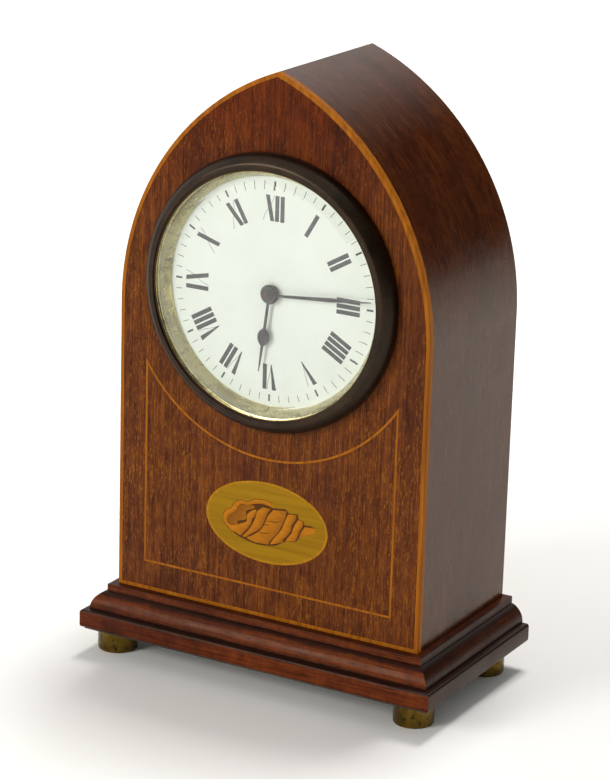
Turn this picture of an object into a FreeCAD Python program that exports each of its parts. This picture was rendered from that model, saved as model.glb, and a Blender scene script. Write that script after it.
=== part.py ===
import FreeCAD, Part
import math
import os
from types import SimpleNamespace

import Sketcher

Vector = FreeCAD.Vector
Rotation = FreeCAD.Rotation

# Lancet mantel timepiece: a pointed-arch mahogany case on a moulded plinth and four brass
# feet, with boxwood stringing, an oval inlaid patera, an enamel dial under a bevelled glass
# and an eight-day balance-wheel movement wound from behind.
# Frame: millimetres, +Z up, the dial faces -Y, origin at the foot of the bounding box.
# Places along Y inside the case are written as depths behind the front face.
SIZES = {
    # carcase
    "case_width": 130,
    "case_depth": 70,
    "straight_height": 113.5,
    "arch_radius": 100,
    "wall_thickness": 8,
    "front_thickness": 8,
    "back_thickness": 6,
    "bottom_thickness": 8,
    "edging_width": 1.6,
    "edging_depth": 2.7,
    "dial_height": 126,
    "sleeve_play": 0.4,
    "ring_sleeve_play": 0.2,
    # inlay on the front
    "inlay_depth": 1,
    "string_width": 0.8,
    "string_half_width": 53.5,
    "string_foot": 11.5,
    "string_arc_radius": 63.2,
    "patera_height": 37.7,
    "patera_half_length": 26.1,
    "patera_half_height": 15.8,
    "patera_border": 0.9,
    "shell_length": 46,
    "saw_kerf": 0.25,
    # plinth
    "moulding_height": 9.8,
    "fillet_overhang": 3,
    "fillet_drop": 2.9,
    "quirk": 0.5,
    "ovolo_overhang": 7.9,
    "ovolo_radius": 7.1,
    "ovolo_foot": 0.5,
    "slab_overhang": 10.7,
    "slab_height": 7.2,
    "slab_rounding": 1.1,
    "plinth_back_overhang": 2.6,
    "lining_thickness": 0.7,
    "lining_inset": 1.5,
    # feet
    "foot_height": 10.3,
    "foot_radius": 8,
    "foot_rim": 0.3,
    "foot_rim_height": 1.8,
    "foot_chamfer": 0.7,
    "foot_spacing": 130,
    "foot_shift": 2.3,
    "foot_from_front": 14.2,
    "foot_from_back": 11.1,
    "foot_screw_radius": 1.5,
    "foot_screw_bite": 4.5,
    "foot_screw_head_radius": 3.1,
    "foot_screw_head_height": 1.8,
    "foot_screw_recess": 0.4,
    "screw_clearance": 0.05,
    # bezel, glass and dial
    "dial_radius": 43.4,
    "dial_play": 0.4,
    "dial_depth": 0.6,
    "dial_thickness": 0.8,
    "dial_chamfer": 0.27,
    "dial_hole": 3.2,
    "dial_foot_radius": 0.8,
    "dial_foot_tail": 2,
    "glass_lap": 3,
    "glass_play": 0.1,
    "glass_back": 4.4,
    "glass_edge": 1.15,
    "glass_thickness": 2.1,
    "glass_bevel": 4.9,
    "sight_lap": 1,
    "sight_wall": 0.5,
    "sight_play": 0.05,
    "sleeve_wall": 0.1,
    "sleeve_length": 6,
    "bezel_flange": 5.4,
    "bezel_height": 6.8,
    "bezel_fall": 3.4,
    "bezel_round": 6.2,
    "bezel_lip": 0.6,
    "bezel_lip_step": 0.7,
    "bezel_lip_thickness": 0.35,
    "bezel_crest": 0.3,
    # hands, at a quarter past six
    "hour_angle": 187.2,
    "minute_angle": 84.8,
    "hand_thickness": 0.4,
    "hour_hand_depth": 1.0,
    "hour_hand_length": 29.7,
    "hour_stem": 0.5,
    "hour_boss": 3.6,
    "hour_bulb_start": 13.2,
    "hour_bulb_end": 19.8,
    "hour_bulb_radius": 3.87,
    "minute_hand_depth": 2.1,
    "minute_hand_length": 41.8,
    "minute_stem": 0.42,
    "minute_swell": 0.75,
    "minute_swell_at": 26,
    "minute_boss": 2.8,
    "hand_tip": 0.12,
    "collet_radius": 2.1,
    "collet_height": 0.7,
    # movement plates
    "front_plate_play": 0.2,
    "front_plate_depth": 6,
    "plate_thickness": 1.5,
    "plate_gap": 22,
    "back_plate_radius": 37,
    "pillar_radius": 2,
    "pillar_circle": 32,
    "screw_radius": 0.8,
    "screw_head_radius": 1.6,
    "screw_head_height": 1,
    "screw_bite": 3.2,
    "sleeve_screw_inset": 1.3,
    # arbors and pivots
    "pivot_clearance": 0.05,
    "centre_arbor_radius": 0.9,
    "train_arbor_radius": 0.7,
    "pivot_radius": 0.45,
    "wheel_thickness": 1,
    "rim_width": 1.6,
    "spoke_width": 1.2,
    # going train: teeth and modules
    "drive_clearance": 0.2,
    "barrel_teeth": 72,
    "barrel_module": 0.45,
    "drive_pinion_teeth": 12,
    "drive_wheel_teeth": 60,
    "drive_module": 0.45,
    "centre_pinion_teeth": 10,
    "centre_wheel_teeth": 64,
    "centre_module": 0.4,
    "third_pinion_teeth": 8,
    "third_wheel_teeth": 60,
    "third_module": 0.35,
    "fourth_pinion_teeth": 8,
    "fourth_wheel_teeth": 60,
    "fourth_module": 0.3,
    "escape_pinion_teeth": 6,
    # motion work
    "cannon_teeth": 12,
    "minute_wheel_teeth": 36,
    "cannon_module": 0.5,
    "minute_pinion_teeth": 12,
    "hour_wheel_teeth": 48,
    "hour_module": 0.4,
    "minute_wheel_angle": 300,
    "motion_thickness": 0.8,
    "cannon_pipe_radius": 1.6,
    "hour_pipe_radius": 2.6,
    "pipe_clearance": 0.08,
    "hand_seat": 1.25,
    # levels of the wheels, as depths behind the front face
    "hour_wheel_depth": 2.2,
    "minute_wheel_depth": 4.4,
    "centre_wheel_depth": 8.4,
    "barrel_depth": 10.2,
    "third_wheel_depth": 14,
    "drive_wheel_depth": 24.2,
    "fourth_wheel_depth": 26.2,
    # barrel and winding work
    "barrel_distance": 20,
    "barrel_angle": 250,
    "barrel_radius": 15,
    "barrel_length": 11.3,
    "barrel_wall": 0.9,
    "barrel_rim": 1.8,
    "barrel_arbor_radius": 2,
    "barrel_core_radius": 3.4,
    "winding_length": 12,
    "winding_square": 2.6,
    "spring_turns": 5,
    "spring_strip": 0.45,
    "spring_clearance": 0.3,
    "ratchet_teeth": 24,
    "ratchet_radius": 6.5,
    "ratchet_tooth": 0.8,
    "ratchet_thickness": 1.4,
    "click_distance": 9.6,
    "click_pivot_angle": 340,
    "click_tip_angle": 25,
    "click_clearance": 0.15,
    "click_width": 1.8,
    "click_boss": 1.7,
    "click_slant": 26,
    "click_spring_strip": 0.35,
    "click_spring_gap": 0.95,
    "click_spring_foot_x": 3,
    "click_spring_foot_z": 11,
    # hand-setting knob
    "knob_depth": 40,
    "knob_length": 7,
    "knob_radius": 5,
    "knob_flutes": 20,
    "knob_flute": 0.35,
    # escapement platform
    "fourth_angle": 320,
    "platform_height": 21,
    "platform_offset": -1.5,
    "platform_radius": 15,
    "platform_thickness": 1.2,
    "platform_screw_inset": 2,
    "escape_window": 1.3,
    "bridge_foot_offset": -14.9,
    "bridge_foot_radius": 1.5,
    "escape_offset": -8.5,
    "lever_offset": -2.3,
    "balance_offset": 5,
    "escape_teeth": 15,
    "escape_radius": 4.2,
    "escape_tooth": 1.1,
    "escape_level": 3,
    "escape_thickness": 0.45,
    "pallet_radius": 5,
    "pallet_angle": 35,
    "pallet_size": 0.5,
    "lever_arbor_radius": 0.6,
    "lever_width": 0.8,
    "fork_reach": 1.2,
    "fork_width": 1.6,
    "fork_slot": 0.7,
    "roller_radius": 1.9,
    "roller_gap": 0.2,
    "roller_thickness": 0.3,
    "impulse_pin_circle": 1.5,
    "impulse_pin_radius": 0.25,
    "bridge_level": 4.4,
    "bridge_thickness": 1,
    "bridge_width": 4,
    "balance_radius": 8,
    "balance_rim": 1.1,
    "balance_level": 6.4,
    "balance_thickness": 1,
    "balance_arm": 1.1,
    "balance_hub": 1.7,
    "staff_radius": 0.5,
    "hairspring_level": 8.4,
    "hairspring_turns": 5,
    "hairspring_inner": 1.1,
    "hairspring_outer": 4.6,
    "hairspring_strip": 0.14,
    "hairspring_height": 0.4,
    "cock_level": 10.2,
    "cock_reach": 11,
    "cock_width": 4,
    "stud_radius": 0.35,
    # back door
    "ring_sleeve_radius": 43.8,
    "ring_sleeve_wall": 0.8,
    "ring_flange": 6.2,
    "ring_thickness": 1.6,
    "ring_lap": 6,
    "door_lap": 2.2,
    "door_gap": 0.3,
    "door_wall": 1,
    "door_crown": 2.4,
    "hinge_reach": 2.4,
    "hinge_rise": 3.4,
    "knuckle_radius": 1.6,
    "knuckle_length": 7.6,
    "knuckle_gap": 0.2,
    "hinge_pin_radius": 0.7,
    "door_rim": 4,
    "door_slope": 3.5,
    "door_knob_radius": 2.5,
    "door_knob_neck": 1.1,
    "door_knob_inset": 2.1,
    "rear_reach": 8,
    "tie_rod_radius": 2,
    "tie_rod_play": 0.2,
    "dial_foot_inset": 6.8,
    "tie_screw_head": 2.7,
    "tie_screw_sink": 1.1,
    "tie_screw_bite": 6,
}

doc = FreeCAD.newDocument("lancet_timepiece")
sheet = doc.addObject("Spreadsheet::Sheet", "Sizes")


class Size:
    """A number of the sheet, with the expression that ties a property to it."""

    def __init__(self, value, text):
        self.value = float(value)
        self.text = text

    @staticmethod
    def of(thing):
        return thing if isinstance(thing, Size) else Size(thing, f"({float(thing)!r})")

    def __add__(self, other):
        other = Size.of(other)
        return Size(self.value + other.value, f"({self.text} + {other.text})")

    def __sub__(self, other):
        other = Size.of(other)
        return Size(self.value - other.value, f"({self.text} - {other.text})")

    def __mul__(self, other):
        other = Size.of(other)
        return Size(self.value * other.value, f"({self.text} * {other.text})")

    def __truediv__(self, other):
        other = Size.of(other)
        return Size(self.value / other.value, f"({self.text} / {other.text})")

    def __neg__(self):
        return Size(-self.value, f"(0 - {self.text})")

    def __radd__(self, other):
        return Size.of(other) + self

    def __rsub__(self, other):
        return Size.of(other) - self

    def __rmul__(self, other):
        return Size.of(other) * self


def root(thing):
    return Size(math.sqrt(thing.value), f"sqrt({thing.text})")


def cosine(degrees):
    degrees = Size.of(degrees)
    return Size(math.cos(math.radians(degrees.value)), f"cos({degrees.text})")


def sine(degrees):
    degrees = Size.of(degrees)
    return Size(math.sin(math.radians(degrees.value)), f"sin({degrees.text})")


def fill_sheet():
    for row, (alias, number) in enumerate(SIZES.items(), 1):
        sheet.set(f"A{row}", alias)
        sheet.set(f"B{row}", str(number))
        sheet.setAlias(f"B{row}", alias)
    doc.recompute()
    return SimpleNamespace(**{alias: Size(number, f"Sizes.{alias}") for alias, number in SIZES.items()})


s = fill_sheet()

# places worked out from the sheet
FRONT = (s.slab_overhang - s.case_depth - s.rear_reach) / 2
SLAB_Z = s.foot_height + s.lining_thickness
MOULDING_Z = SLAB_Z + s.slab_height
BODY_Z = MOULDING_Z + s.moulding_height
SPRING_Z = BODY_Z + s.straight_height
DIAL_Z = BODY_Z + s.dial_height
HALF_WIDTH = s.case_width / 2
BACK_PLATE = s.front_plate_depth + s.plate_thickness + s.plate_gap
MOVEMENT_BACK = BACK_PLATE + s.plate_thickness
PLATFORM_TOP = MOVEMENT_BACK + s.platform_thickness
BEZEL_BORE = s.dial_radius + s.dial_play
GLASS_RADIUS = s.dial_radius + s.glass_lap
GLASS_REBATE = GLASS_RADIUS + s.glass_play
SLEEVE_RADIUS = GLASS_REBATE + s.sleeve_wall
FRONT_HOLE = SLEEVE_RADIUS + s.sleeve_play
FRONT_PLATE_RADIUS = SLEEVE_RADIUS - s.front_plate_play
SLEEVE_SCREW_CIRCLE = BEZEL_BORE + s.sleeve_screw_inset
BACK_HOLE = s.ring_sleeve_radius + s.ring_sleeve_play
RING_RADIUS = s.ring_sleeve_radius + s.ring_flange
RING_BORE = s.ring_sleeve_radius - s.ring_sleeve_wall
RING_OPENING = RING_BORE - s.ring_lap
TIE_ROD_CIRCLE = RING_BORE - s.tie_rod_play - s.tie_rod_radius
DIAL_FOOT_CIRCLE = TIE_ROD_CIRCLE - s.dial_foot_inset
DOOR_RADIUS = s.ring_sleeve_radius + s.door_lap
ZERO = Size(0, "0")

PIECES = []


def depth(behind_front):
    """The Y of a place that lies this far behind the front face."""
    return FRONT + behind_front


def bind(thing, name, size):
    thing.setExpression(name, Size.of(size).text)


def node(thing, label):
    """Names a finished piece; the name is its file's too."""
    thing.Label = label
    PIECES.append(thing)
    return thing


# ---------------------------------------------------------------- drawing and shaping
def right_arc(start, end, radius):
    """The short arc from start to end that bulges to the right of the way it runs."""
    chord = end - start
    half = chord.Length / 2
    right = Vector(chord.y, -chord.x, 0).normalize()
    rise = radius - math.sqrt(max(radius * radius - half * half, 0))
    return Part.Arc(start, (start + end) / 2 + right * rise, end)


def plane_of(body, role):
    return next(item for item in body.Origin.OriginFeatures if item.Role == role)


def new_sketch(body, role, shift):
    sketch = body.newObject("Sketcher::SketchObject", "Outline")
    sketch.AttachmentSupport = [(plane_of(body, role), "")]
    sketch.MapMode = "FlatFace"
    bind(sketch, "AttachmentOffset.Base.z", -shift if role == "XZ_Plane" else shift)
    return sketch


def hold(sketch, constraint, size):
    index = sketch.addConstraint(constraint)
    bind(sketch, f"Constraints[{index}]", size)


def draw(sketch, corners):
    """A closed outline: a corner is (u, v); (u, v, radius, side) starts an arc, 1 for left."""
    runs = []
    for here, there in zip(corners, corners[1:] + corners[:1]):
        start = Vector(Size.of(here[0]).value, Size.of(here[1]).value, 0)
        end = Vector(Size.of(there[0]).value, Size.of(there[1]).value, 0)
        if len(here) == 2:
            runs.append((sketch.addGeometry(Part.LineSegment(start, end)), 1, 2))
        elif here[3] < 0:
            runs.append((sketch.addGeometry(right_arc(start, end, Size.of(here[2]).value)), 1, 2))
        else:
            runs.append((sketch.addGeometry(right_arc(end, start, Size.of(here[2]).value)), 2, 1))
    for corner, (run, first, last), (after, after_first, _) in zip(corners, runs, runs[1:] + runs[:1]):
        sketch.addConstraint(Sketcher.Constraint("Coincident", run, last, after, after_first))
        hold(sketch, Sketcher.Constraint("DistanceX", run, first, Size.of(corner[0]).value), corner[0])
        hold(sketch, Sketcher.Constraint("DistanceY", run, first, Size.of(corner[1]).value), corner[1])
        if len(corner) > 2:
            hold(sketch, Sketcher.Constraint("Radius", run, Size.of(corner[2]).value), corner[2])


def draw_circle(sketch, u, v, radius):
    circle = Part.Circle(Vector(Size.of(u).value, Size.of(v).value, 0), Vector(0, 0, 1), Size.of(radius).value)
    ring = sketch.addGeometry(circle)
    hold(sketch, Sketcher.Constraint("DistanceX", ring, 3, Size.of(u).value), u)
    hold(sketch, Sketcher.Constraint("DistanceY", ring, 3, Size.of(v).value), v)
    hold(sketch, Sketcher.Constraint("Radius", ring, Size.of(radius).value), radius)


def draw_ellipse(sketch, u, v, half_u, half_v):
    """An ellipse, longer along u, held at its centre and its two end points."""
    centre = Vector(u.value, v.value, 0)
    curve = Part.Ellipse(centre + Vector(half_u.value, 0, 0), centre + Vector(0, half_v.value, 0), centre)
    ring = sketch.addGeometry(curve)
    first = len(sketch.Geometry)
    sketch.exposeInternalGeometry(ring)
    hold(sketch, Sketcher.Constraint("DistanceX", ring, 3, u.value), u)
    hold(sketch, Sketcher.Constraint("DistanceY", ring, 3, v.value), v)
    major, minor = first, first + 1
    sketch.addConstraint(Sketcher.Constraint("Horizontal", major))
    hold(sketch, Sketcher.Constraint("Distance", major, 2 * half_u.value), half_u * 2)
    hold(sketch, Sketcher.Constraint("Distance", minor, 2 * half_v.value), half_v * 2)


def feature(body, kind, sketch, length, flipped):
    item = body.newObject(f"PartDesign::{kind}", kind)
    item.Profile = sketch
    bind(item, "Length", length)
    item.Reversed = flipped
    body.Tip = item
    return item


def pad(body, role, start, length, *outlines):
    """Adds material from start, for length, along the plane's own row axis."""
    sketch = new_sketch(body, role, start)
    for outline in outlines:
        outline(sketch)
    return feature(body, "Pad", sketch, length, role == "XZ_Plane")


def pocket(body, role, start, length, *outlines):
    """Cuts from start, for length, along the plane's own row axis."""
    sketch = new_sketch(body, role, start)
    for outline in outlines:
        outline(sketch)
    return feature(body, "Pocket", sketch, length, role != "XZ_Plane")


def path(corners):
    return lambda sketch: draw(sketch, corners)


def circle(u, v, radius):
    return lambda sketch: draw_circle(sketch, u, v, radius)


def new_body():
    return doc.addObject("PartDesign::Body", "Body")


def turned(corners, role="XY_Plane"):
    """A body turned about Y (XY_Plane: radius, y) or about Z (XZ_Plane: radius, z)."""
    body = new_body()
    sketch = new_sketch(body, role, ZERO)
    draw(sketch, corners)
    item = body.newObject("PartDesign::Revolution", "Revolution")
    item.Profile = sketch
    item.ReferenceAxis = (sketch, ["V_Axis"])
    item.Angle = 360
    body.Tip = item
    return body


def place(thing, x=ZERO, y=ZERO, z=ZERO):
    bind(thing, "Placement.Base.x", x)
    bind(thing, "Placement.Base.y", y)
    bind(thing, "Placement.Base.z", z)
    return thing


def rod(radius, start, length, x=ZERO, z=ZERO):
    """A round bar along +Y that starts this far behind the front face."""
    bar = doc.addObject("Part::Cylinder", "Rod")
    bind(bar, "Radius", radius)
    bind(bar, "Height", length)
    bar.Placement = FreeCAD.Placement(Vector(0, 0, 0), Rotation(Vector(1, 0, 0), -90))
    return place(bar, x, depth(start), z)


def post(radius, start, length, x, y):
    """An upright round bar whose foot is at start."""
    bar = doc.addObject("Part::Cylinder", "Post")
    bind(bar, "Radius", radius)
    bind(bar, "Height", length)
    return place(bar, x, y, start)


def fused(parts):
    whole = doc.addObject("Part::MultiFuse", "Fuse")
    whole.Shapes = parts
    return whole


def grouped(parts):
    """Separate solids kept in one node."""
    group = doc.addObject("Part::Compound", "Group")
    group.Links = parts
    return group


def cut(base, tools):
    item = doc.addObject("Part::Cut", "Cut")
    item.Base = base
    item.Tool = tools[0] if len(tools) == 1 else fused(tools)
    return item


def formed(shape, name="Form"):
    """A shape made by formula, such as a ring of teeth or a spiral."""
    item = doc.addObject("Part::Feature", name)
    item.Shape = shape
    return item



# ---------------------------------------------------------------- carcase
def apex(inset):
    reach = s.arch_radius - inset
    offset = s.arch_radius - HALF_WIDTH
    return SPRING_Z + root(reach * reach - offset * offset)


def lancet(inset, foot):
    """The pointed arch on its straight sides, drawn this far inside the case's outline."""
    half = HALF_WIDTH - inset
    bend = s.arch_radius - inset
    return [
        (-half, foot),
        (half, foot),
        (half, SPRING_Z, bend, -1),
        (ZERO, apex(inset), bend, -1),
        (-half, SPRING_Z),
    ]


def half_arch(side, outer, inner):
    """One side of the arch as a bent board, from the foot to the mitre at the apex."""
    out, within = HALF_WIDTH - outer, HALF_WIDTH - inner
    return [
        (within * side, BODY_Z),
        (out * side, BODY_Z),
        (out * side, SPRING_Z, s.arch_radius - outer, -side),
        (ZERO, apex(outer)),
        (ZERO, apex(inner), s.arch_radius - inner, side),
        (within * side, SPRING_Z),
    ]


def build_carcase():
    for side, label in ((-1, "left_side"), (1, "right_side")):
        body = new_body()
        board = path(half_arch(side, ZERO, s.wall_thickness))
        pad(body, "XZ_Plane", depth(s.edging_depth), s.case_depth - s.edging_depth, board)
        rebate = path(half_arch(side, s.edging_width, s.wall_thickness))
        pocket(body, "XZ_Plane", depth(s.edging_depth), s.front_thickness - s.edging_depth, rebate)
        node(body, label)

    body = new_body()
    floor_height = s.bottom_thickness
    floor_depth = s.case_depth - s.front_thickness - s.back_thickness
    half = HALF_WIDTH - s.wall_thickness
    floor = [(-half, BODY_Z), (half, BODY_Z), (half, BODY_Z + floor_height), (-half, BODY_Z + floor_height)]
    pad(body, "XZ_Plane", depth(s.front_thickness), floor_depth, path(floor))
    node(body, "bottom_board")

    body = new_body()
    opening = circle(ZERO, DIAL_Z, BACK_HOLE)
    back = path(lancet(s.wall_thickness, BODY_Z))
    pad(body, "XZ_Plane", depth(s.case_depth - s.back_thickness), s.back_thickness, back, opening)
    node(body, "back_panel")

    body = new_body()
    inner_foot = BODY_Z + s.edging_width
    opening = circle(ZERO, DIAL_Z, FRONT_HOLE)
    face = path(lancet(s.edging_width, inner_foot))
    pad(body, "XZ_Plane", FRONT, s.front_thickness, face, opening)
    half = HALF_WIDTH - s.edging_width
    tongue = path([(-half, BODY_Z), (half, BODY_Z), (half, inner_foot), (-half, inner_foot)])
    pad(body, "XZ_Plane", depth(s.edging_depth), s.front_thickness - s.edging_depth, tongue)
    pocket(body, "XZ_Plane", FRONT, s.inlay_depth, path(panel_line(ZERO)), path(panel_line(s.string_width)))
    recess = new_sketch(body, "XZ_Plane", FRONT)
    draw_ellipse(recess, ZERO, BODY_Z + s.patera_height, s.patera_half_length, s.patera_half_height)
    feature(body, "Pocket", recess, s.inlay_depth, False)
    node(body, "front_panel")

    body = new_body()
    outer = path(lancet(ZERO, BODY_Z))
    pad(body, "XZ_Plane", FRONT, s.edging_depth, outer, path(lancet(s.edging_width, inner_foot)))
    node(body, "edge_stringing")


# ---------------------------------------------------------------- inlay
def panel_line(inset):
    """The panel of thin stringing: square below, hollowed round the dial above."""
    half = s.string_half_width - inset
    bend = s.string_arc_radius + inset
    drop = root(bend * bend - half * half)
    low = BODY_Z + s.string_foot + inset
    high = DIAL_Z - drop
    return [(-half, low), (half, low), (half, high, bend, 1), (-half, high)]


def shell_outline():
    """The conch's edge in lengths of the shell: lip at the left, spire at the right."""
    return [
        ((0.500, -0.045), 0), ((0.352, -0.100), 0.02), ((0.285, -0.135), -0.02), ((0.170, -0.130), -0.03),
        ((0.060, -0.175), -0.03), ((-0.230, -0.120), -0.03), ((-0.405, 0.035), -0.03),
        ((-0.420, 0.150), -0.02), ((-0.345, 0.170), -0.02), ((-0.300, 0.240), -0.025),
        ((-0.205, 0.205), -0.025), ((-0.060, 0.230), -0.03), ((0.060, 0.120), 0),
        ((0.205, 0.110), -0.015), ((0.300, 0.075), -0.015), ((0.355, 0.015), -0.01), ((0.450, -0.030), 0),
    ]


def scaled_wire(points, length, shift, level):
    """Closes points with arcs; each point carries the sagitta of the arc that follows it."""
    corners = [Vector(u * length, level, v * length + shift) for (u, v), bulge in points]
    edges = []
    for index, (spot, bulge) in enumerate(points):
        start, end = corners[index], corners[(index + 1) % len(corners)]
        if bulge:
            chord = end - start
            side = Vector(-chord.z, 0, chord.x).normalize()
            edges.append(Part.Arc(start, (start + end) / 2 + side * (-bulge * length), end).toShape())
        else:
            edges.append(Part.LineSegment(start, end).toShape())
    return Part.Wire(edges)


def build_inlay():
    body = new_body()
    pad(body, "XZ_Plane", FRONT, s.inlay_depth, path(panel_line(ZERO)), path(panel_line(s.string_width)))
    node(body, "panel_stringing")

    centre = BODY_Z + s.patera_height
    body = new_body()
    outline = new_sketch(body, "XZ_Plane", FRONT)
    draw_ellipse(outline, ZERO, centre, s.patera_half_length, s.patera_half_height)
    inner_length, inner_height = s.patera_half_length - s.patera_border, s.patera_half_height - s.patera_border
    draw_ellipse(outline, ZERO, centre, inner_length, inner_height)
    feature(body, "Pad", outline, s.inlay_depth, True)
    node(body, "patera_border")

    length, level = s.shell_length.value, FRONT.value
    thickness = s.inlay_depth.value
    shell = Part.Face(scaled_wire(shell_outline(), length, centre.value, level))
    shell = shell.extrude(Vector(0, thickness, 0))
    whorls = [
        ((0.065, 0.150), (-0.020, 0.000), (-0.215, -0.160)),
        ((-0.130, 0.130), (-0.170, 0.010), (-0.300, -0.110)),
        ((0.190, 0.150), (0.135, 0.000), (0.010, -0.220)),
        ((0.300, 0.110), (0.235, -0.030), (0.140, -0.180)),
        ((0.375, 0.040), (0.330, -0.060), (0.270, -0.180)),
    ]
    kerf = s.saw_kerf.value / 2
    cuts = []
    for first, middle, last in whorls:
        a, b, c = (Vector(u * length, level, v * length + centre.value) for u, v in (first, middle, last))
        side = Vector(kerf, 0, 0)
        near = Part.Arc(a - side, b - side, c - side).toShape()
        far = Part.Arc(a + side, b + side, c + side).toShape()
        ends = [Part.LineSegment(c - side, c + side).toShape(), Part.LineSegment(a + side, a - side).toShape()]
        strip = Part.Face(Part.Wire([near, ends[0], far, ends[1]]))
        cuts.append(strip.extrude(Vector(0, thickness, 0)))
    shell_solid = formed(shell, "ShellBlank")
    node(formed(shell.cut(cuts), "Shell"), "shell_inlay")

    body = new_body()
    outline = new_sketch(body, "XZ_Plane", FRONT)
    draw_ellipse(outline, ZERO, centre, inner_length, inner_height)
    feature(body, "Pad", outline, s.inlay_depth, True)
    node(cut(body, [shell_solid]), "patera_ground")


# ---------------------------------------------------------------- plinth and feet
def moulding_edge(face, direction):
    """From the top fillet down the ovolo; face is the case's face, direction points out."""
    fillet = face + s.fillet_overhang * direction
    fillet_foot = BODY_Z - s.fillet_drop
    ovolo = face + s.ovolo_overhang * direction
    return [
        (fillet, BODY_Z),
        (fillet, fillet_foot),
        (fillet + s.quirk * direction, fillet_foot, s.ovolo_radius, direction),
        (ovolo, MOULDING_Z + s.ovolo_foot),
        (ovolo, MOULDING_Z),
    ]


def build_plinth():
    back = depth(s.case_depth + s.plinth_back_overhang)
    front_run = moulding_edge(FRONT, -1)
    long_body = new_body()
    profile = [(back, BODY_Z)] + front_run + [(back, MOULDING_Z)]
    reach = HALF_WIDTH + s.ovolo_overhang
    pad(long_body, "YZ_Plane", -reach, reach * 2, path(profile))
    cross_body = new_body()
    right = moulding_edge(HALF_WIDTH, 1)
    left = [corner[:2] for corner in moulding_edge(-HALF_WIDTH, -1)]
    left = left[::-1]
    left[1] = (left[1][0], left[1][1], s.ovolo_radius, 1)
    start = FRONT - s.ovolo_overhang
    pad(cross_body, "XZ_Plane", start, back - start, path(left + right))
    common = doc.addObject("Part::Common", "Moulding")
    common.Base = long_body
    common.Tool = cross_body
    node(common, "plinth_moulding")

    half = HALF_WIDTH + s.slab_overhang
    front = FRONT - s.slab_overhang
    slab = new_body()
    outline = [(-half, front), (half, front), (half, back), (-half, back)]
    block = pad(slab, "XY_Plane", SLAB_Z, s.slab_height, path(outline))
    doc.recompute()
    rounding = slab.newObject("PartDesign::Fillet", "Rounding")
    level = [
        f"Edge{number}"
        for number, edge in enumerate(block.Shape.Edges, 1)
        if abs(edge.BoundBox.ZLength) < 1e-6 and edge.CenterOfMass.y < back.value - 1e-6
    ]
    rounding.Base = (block, level)
    bind(rounding, "Radius", s.slab_rounding)
    slab.Tip = rounding
    holes = [circle(x, y, s.foot_screw_radius + s.screw_clearance) for x, y in foot_places()]
    pocket(slab, "XY_Plane", SLAB_Z, s.foot_screw_bite + s.screw_clearance * 4, *holes)
    node(slab, "plinth_slab")

    lining = new_body()
    half, front, rear = half - s.lining_inset, front + s.lining_inset, back - s.lining_inset
    outline = [(-half, front), (half, front), (half, rear), (-half, rear)]
    pad(lining, "XY_Plane", s.foot_height, s.lining_thickness, path(outline), *holes)
    node(lining, "base_lining")


def foot_places():
    near = FRONT - s.slab_overhang + s.foot_from_front
    far = depth(s.case_depth + s.plinth_back_overhang) - s.foot_from_back
    half = s.foot_spacing / 2
    return [(half * side - s.foot_shift, y) for y in (near, far) for side in (-1, 1)]


def build_feet():
    bore = s.foot_screw_radius + s.screw_clearance
    sink = s.foot_screw_head_radius + s.screw_clearance
    sink_top = s.foot_screw_recess + s.foot_screw_head_height
    neck = s.foot_radius - s.foot_rim
    outline = [
        (sink, ZERO),
        (neck - s.foot_chamfer, ZERO),
        (neck, s.foot_chamfer),
        (neck, s.foot_height - s.foot_rim_height),
        (s.foot_radius, s.foot_height - s.foot_rim_height + s.foot_rim),
        (s.foot_radius, s.foot_height),
        (bore, s.foot_height),
        (bore, sink_top),
        (sink, sink_top),
    ]
    labels = ("foot_front_left", "foot_front_right", "foot_rear_left", "foot_rear_right")
    screws = []
    for label, (x, y) in zip(labels, foot_places()):
        node(place(turned(outline, "XZ_Plane"), x, y), label)
        head = post(s.foot_screw_head_radius, s.foot_screw_recess, s.foot_screw_head_height, x, y)
        shank_length = SLAB_Z + s.foot_screw_bite - sink_top
        shank = post(s.foot_screw_radius, sink_top, shank_length, x, y)
        screws.append(fused([head, shank]))
    node(grouped(screws), "foot_screws")


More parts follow.
